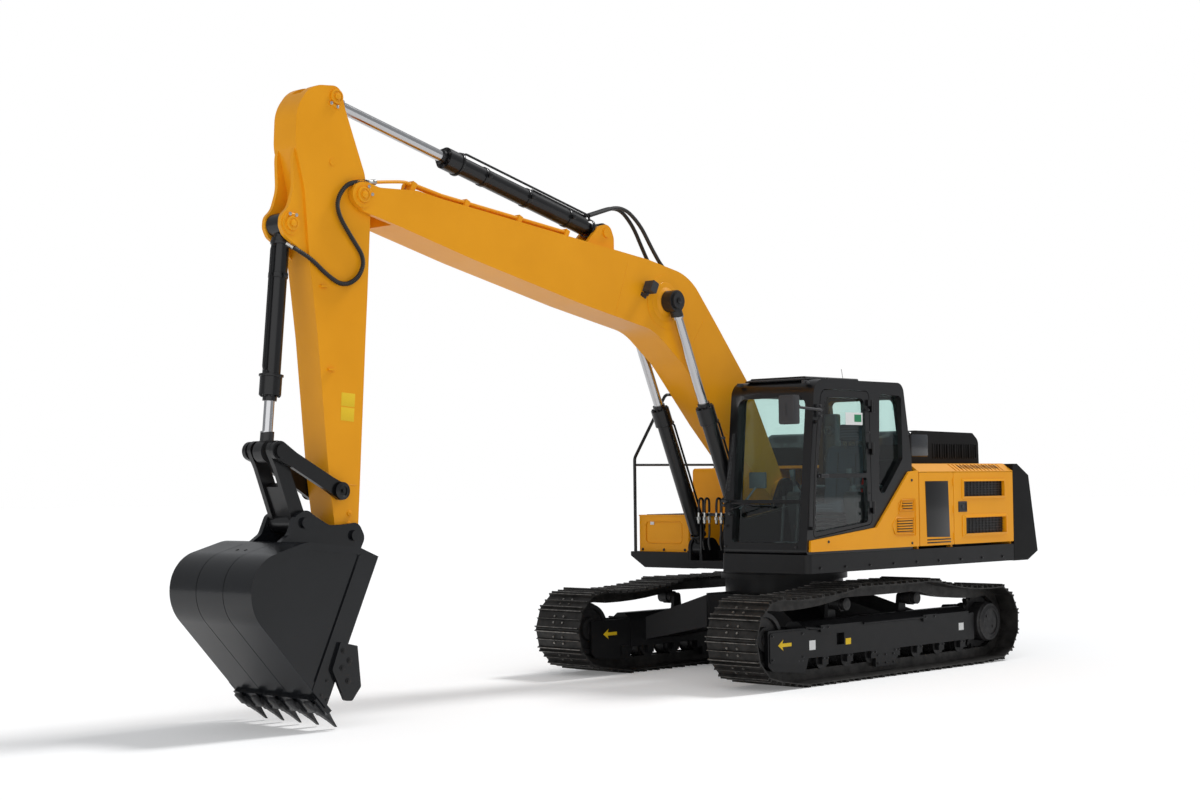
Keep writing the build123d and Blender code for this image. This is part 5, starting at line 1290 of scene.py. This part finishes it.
bucket = {"half": 0.54, "teeth": 5, "spacing": 0.228, "cutter": 0.582, "armSide": 0.148,
          "boomSide": 0.2}


def makeTooth():
    # adapter, shoulder and long tapered point, along +Z
    obj = addBlock("tooth", (-0.043, -0.05, 0), (0.043, 0.05, 0.13), 0)
    steps = [(0.86, 0.80, 0.0, False), (0.9, 0.86, 0.0, True), (0.74, 0.40, 0.10, True),
             (0.62, 0.28, 0.078, True)]  # scale across, through, rise, new section
    for wide, thick, rise, grow in steps:
        top = max(v.co.z for v in obj.data.vertices)
        selectFaces(obj, lambda n, c: c.z > top - 0.001)
        if grow:
            bpy.ops.mesh.extrude_region_move(
                TRANSFORM_OT_translate={"value": (0, 0, rise + 0.002)})
        bpy.ops.transform.resize(value=(wide, thick, 1), center_override=(0, 0, top + rise))
        setMode("OBJECT")
    bevelEdges(obj, 0.005, 2, 25)
    pin = addRound("pin", (-0.046, 0, 0.10), (0.046, 0, 0.10), 0.012, sides=12, edge=0.001)
    strap = addBlock("strap", (-0.038, -0.062, -0.05), (0.038, -0.034, 0.06), 0.006)
    return joinAll([obj, pin, strap], "tooth")


tooth = makeTooth()
toothAxis = (onBucket(0.055, -1.557) - onBucket(0.32, -1.39)).normalized()
toothBase = onBucket(0.055, -1.557) - toothAxis * max(v.co.z for v in tooth.data.vertices)
places = [toothBase + Vector((0, (i - 2) * bucket["spacing"], 0)) for i in range(bucket["teeth"])]
teeth = boltRow("teeth", tooth, places, toothAxis, toothSteel, "bucket_body")
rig.replaces(teeth, "bucket_teeth")
remove(tooth)

cutterBolts = ((0.205, -0.965), (0.13, -1.03), (0.19, -1.10), (0.11, -1.19))
stripBolts = ((0.30, -1.22), (0.33, -1.335), (0.27, -1.365))
stripWeld = ((0.185, -0.20), (0.262, -0.60), (0.345, -1.02), (0.408, -1.29))
for sideName, side in (("left", 1), ("right", -1)):
    for pieceName, master, points, face in (
            ("CutterBolts", boltLarge, cutterBolts, bucket["cutter"] - 0.001),
            ("StripBolts", boltSmall, stripBolts, bucket["half"] + 0.013)):
        boltRow(sideName + pieceName, master, [onBucket(u, v, side * face) for u, v in points],
                (0, side, 0), castIron, "bucket_body")
    weld = addRod("weld", [onBucket(u, v, side * (bucket["half"] + 0.004))
                           for u, v in stripWeld], 0.006)
    makePiece(sideName + "StripWeld", [weld], bucketBlack, "bucket_body", angle=60)

# drain holes in the shell's back, as dark discs of painted shade
normal = (onBucket(0.475, 0.88) - onBucket(0, 0)).normalized()
drainShades = [addRound("drain", at - normal * 0.004, at + normal * 0.002, 0.014, sides=16,
                   edge=0.0005) for at in (onBucket(0.93, -0.303, y) for y in (-0.055, 0.055))]
makePiece("drainHoles", drainShades, sealRubber, "bucket_body")

# black caps on the side links' lower pivots, with their bolts
caps = []
for side in (1, -1):
    at, out = Vector((linkPivot.x, sideY, linkPivot.z)), Vector((0, side, 0))
    cap = addRound("cap", at + out * 0.215, at + out * 0.236, 0.058, 0.054, 32, 0.003)
    insetFaces(cap, lambda n, c: abs(n.y) > 0.9, [(0.014, 0.0), (0.003, -0.004)])
    caps += [cap, addRound("bolt", at + out * 0.23128, at + out * 0.248, 0.016, sides=6, edge=0)]
makePiece("sideLinkCaps", caps, black, "arm_body")

# arm: two blank plates in one tilted field, grease points
armFace = sideY + bucket["armSide"]
field = [Vector((x, 0, z)) for x, z in
         ((5.862, 2.704), (5.719, 2.694), (5.736, 2.462), (5.874, 2.474))]
plates = []
for start, end in ((0.0, 0.48), (0.52, 1.0)):
    corners = (field[0].lerp(field[3], start), field[1].lerp(field[2], start),
               field[1].lerp(field[2], end), field[0].lerp(field[3], end))
    plates.append(flatPlate("plate", [(p.x, p.z) for p in corners], armFace + 0.0006, 0.002,
                            0.0004))
makePiece("armPlates", plates, plateYellow, "arm_body")
nipples = []
for z in (1.704, 1.612):
    at = Vector((5.788, armFace, z))
    nipples += [addRound("boss", at - Vector((0, 0.002, 0)), at + Vector((0, 0.012, 0)), 0.026,
                         0.022, 16),
                addRound("nipple", at, at + Vector((0, 0.022, 0)), 0.009, 0.006, 12, 0)]
makePiece("greasePoints", nipples, yellow, "arm_body")

# weld lines across the boom's and the arm's sides
for side in (1, -1):
    boomY, armY = side * bucket["boomSide"], side * bucket["armSide"]
    for name, points, radius, body in (
            ("boomWeldFront", [onBoom(2.991, 1.059, boomY), onBoom(2.943, 0.513, boomY)],
             0.002, "boom_body"),
            ("boomWeldRear", [onBoom(1.781, 1.101, boomY), onBoom(1.893, 0.494, boomY)],
             0.002, "boom_body"),
            ("armWeld", [onArm(2.42, -0.06, armY), onArm(2.40, 0.22, armY)],
             0.003, "arm_body")):
        makePiece(name, [addRod(name, points, radius)], yellow, body, angle=60)
print("bucket done")

# --- undercarriage: plates, arrows, rods, drive covers and bolts

under = {"outer": 1.2675, "lid": 1.2755, "inner": -0.9865, "drive": (-1.835, 0.416),
         "driveFace": 1.3025}


def arrowPlate(name, tip, length, height, y):
    # flat arrow pointing forward, its tip at tip
    x, z = tip
    outline = [(0, 0), (0.75, 0.5), (0.62, 0.16), (length / height, 0.16),
               (length / height, -0.16), (0.62, -0.16), (0.75, -0.5)]  # back and up, by height
    plate = flatPlate(name, [(x - height * u, z + height * v) for u, v in outline], y, 0.002,
                      0.0004)
    makePiece(name, [plate], plateYellow, "undercarriage")


arrowPlate("leftArrow", (1.718, 0.400), 0.2, 0.10, under["lid"] + 0.0005)
arrowPlate("rightArrow", (1.718, 0.400), 0.2, 0.10, -under["lid"] - 0.0005)
arrowPlate("innerArrow", (1.70, 0.400), 0.2, 0.10, under["inner"] + 0.0005)

whiteTags = ((1.14, 1.235, 0.325, 0.415), (-1.40, -1.31, 0.355, 0.43))  # x and z, low and high
edgeRods = (((1.303, 0.544), (1.067, 0.518)), ((0.377, 0.530), (-0.636, 0.530)))
driveX, driveZ = under["drive"]
for sideName, side in (("left", 1), ("right", -1)):
    y = side * under["outer"]
    low, high = sorted((y - 0.001, y + side * 0.0015))
    tags = [addBlock("tag", (x0, low, z0), (x1, high, z1), 0) for x0, x1, z0, z1 in whiteTags]
    makePiece(sideName + "Tags", tags, paperWhite, "undercarriage")
    low, high = sorted((y, y + side * 0.0015))
    tag = addBlock("tag", (0.575, low - 0.001, 0.34), (0.66, high, 0.40), 0)
    makePiece(sideName + "YellowTag", [tag], plateYellow, "undercarriage")
    rods = [addRod("rod", [(x, y + side * 0.012, z) for x, z in ends], 0.011)
            for ends in edgeRods]
    makePiece(sideName + "EdgeRods", rods, frameBlack, "undercarriage")
    face = side * under["driveFace"]
    cover = addRound("cover", (driveX, face - side * 0.004, driveZ),
                     (driveX, face + side * 0.012, driveZ), 0.165, 0.16, 48, 0.003)
    insetFaces(cover, lambda n, c: abs(n.y) > 0.9 and (c.y - face) * side > 0,
               [(0.03, 0.0), (0.006, -0.006), (0.06, 0.0), (0.008, 0.006)])
    plugs = [addRound("plug", (driveX + d, face, driveZ + d),
                      (driveX + d, face + side * 0.022, driveZ + d), 0.016, sides=6, edge=0)
             for d in (0.06, -0.05)]
    makePiece(sideName + "DriveCover", [cover, *plugs], castIron, "undercarriage")
    spokes = [math.tau * i / 20 for i in range(20)]
    boltRow(sideName + "DriveBolts", boltSmall,
            [(driveX + 0.182 * math.cos(a), face - side * 0.002, driveZ + 0.182 * math.sin(a))
             for a in spokes], (0, side, 0), castIron, "undercarriage")
    rows = {  # bolt rows on the track frame
        "RollerBolts": [(-1.38 + i * 2.76 / 7 + dx, y - side * 0.001, 0.235)
                        for i in range(8) for dx in (-0.03, 0.03)],
        "LugBolts": [(x, y + side * 0.02, 0.53) for x in (0.96, 1.045, -0.84, -0.68)],
        "LidBolts": [(x, side * (under["lid"] - 0.001), z) for x in (1.345, 1.80)
                     for z in (0.27, 0.49)],
        "GuardBolts": [(x, y - side * 0.001, z) for x in (-0.13, 0.0, 0.13)
                       for z in (0.12, 0.20)],
    }
    for rowName, places in rows.items():
        boltRow(sideName + rowName, boltSmall, places, (0, side, 0), blackZinc, "undercarriage")

ringBolts = [(0.632 * math.cos(a), 0.632 * math.sin(a), 0.93)
             for a in (math.tau * i / 36 for i in range(36))]
boltRow("swingRingBolts", boltSmall, ringBolts, zPlus, blackZinc, "undercarriage")
remove(boltSmall)
remove(boltLarge)
print("undercarriage done")

# --- camera, floor and light

view = {"place": (15.954, 12.606, 1.941), "yaw": 223.662, "pitch": 2.421, "roll": -0.63,
        "lens": 58.178}
yaw, pitch, roll = (math.radians(view[k]) for k in ("yaw", "pitch", "roll"))
ahead = Vector((math.cos(yaw) * math.cos(pitch), math.sin(yaw) * math.cos(pitch),
                math.sin(pitch)))
right = ahead.cross(Vector(zPlus)).normalized()
up = right.cross(ahead)
bpy.ops.object.camera_add()
camera = bpy.context.object
camera.matrix_world = axesMatrix(right * math.cos(roll) + up * math.sin(roll),
                                 up * math.cos(roll) - right * math.sin(roll), -ahead,
                                 view["place"])
camera.data.lens = view["lens"]
camera.data.sensor_width = 36
camera.data.clip_end = 400
scene.camera = camera

bpy.ops.mesh.primitive_plane_add(size=300, location=(0, 0, 0))
floor = bpy.context.object
floor.name = "floor"
floorMat, nodes, links, bsdf = newMaterial("floorWhite")
setInputs(bsdf, {"Base Color": (0.9, 0.9, 0.9, 1), "Roughness": 0.95, "Specular IOR Level": 0.0})
lift = addNode(nodes, "ShaderNodeEmission", {"Strength": 0.17})  # what it lacks to white
added = nodes.new("ShaderNodeAddShader")
links.new(bsdf.outputs["BSDF"], added.inputs[0])
links.new(lift.outputs["Emission"], added.inputs[1])
rays = nodes.new("ShaderNodeLightPath")
surface = mixShaders(nodes, links, rays.outputs["Is Camera Ray"], bsdf.outputs["BSDF"],
                     added.outputs["Shader"])
links.new(surface, nodes["Material Output"].inputs["Surface"])
floor.data.materials.append(floorMat)
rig.stage(floor)

world = bpy.data.worlds.new("studio")
scene.world = world
world.use_nodes = True
nodes, links = world.node_tree.nodes, world.node_tree.links
ambient = nodes["Background"]
setInputs(ambient, {"Color": (0.95, 0.97, 1.0, 1), "Strength": 0.38})
backdrop = addNode(nodes, "ShaderNodeBackground", {"Color": (1, 1, 1, 1), "Strength": 1.0})
rays = nodes.new("ShaderNodeLightPath")
surface = mixShaders(nodes, links, rays.outputs["Is Camera Ray"],
                     ambient.outputs["Background"], backdrop.outputs["Background"])
links.new(surface, nodes["World Output"].inputs["Surface"])

lights = {  # where it shines from, strength, how wide it looks in degrees
    "key": ((-0.75, 0.2, 1.0), 1.9, 14),
    "fill": ((1.0, 0.72, 0.2), 1.4, 90),
}
for lightName, (source, strength, width) in lights.items():
    bpy.ops.object.light_add(type="SUN", location=Vector(source) * 20)
    lamp = bpy.context.object
    lamp.name = lightName
    lamp.data.energy = strength
    lamp.data.angle = math.radians(width)
    lamp.rotation_euler = (-Vector(source)).to_track_quat("-Z", "Y").to_euler()
scene.view_settings.view_transform = "Standard"
print("camera and light done")

json.dump({"cad": [list(v) for v in cadBox], "visual": [list(v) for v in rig.bounds()]},
          open("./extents.json", "w"))
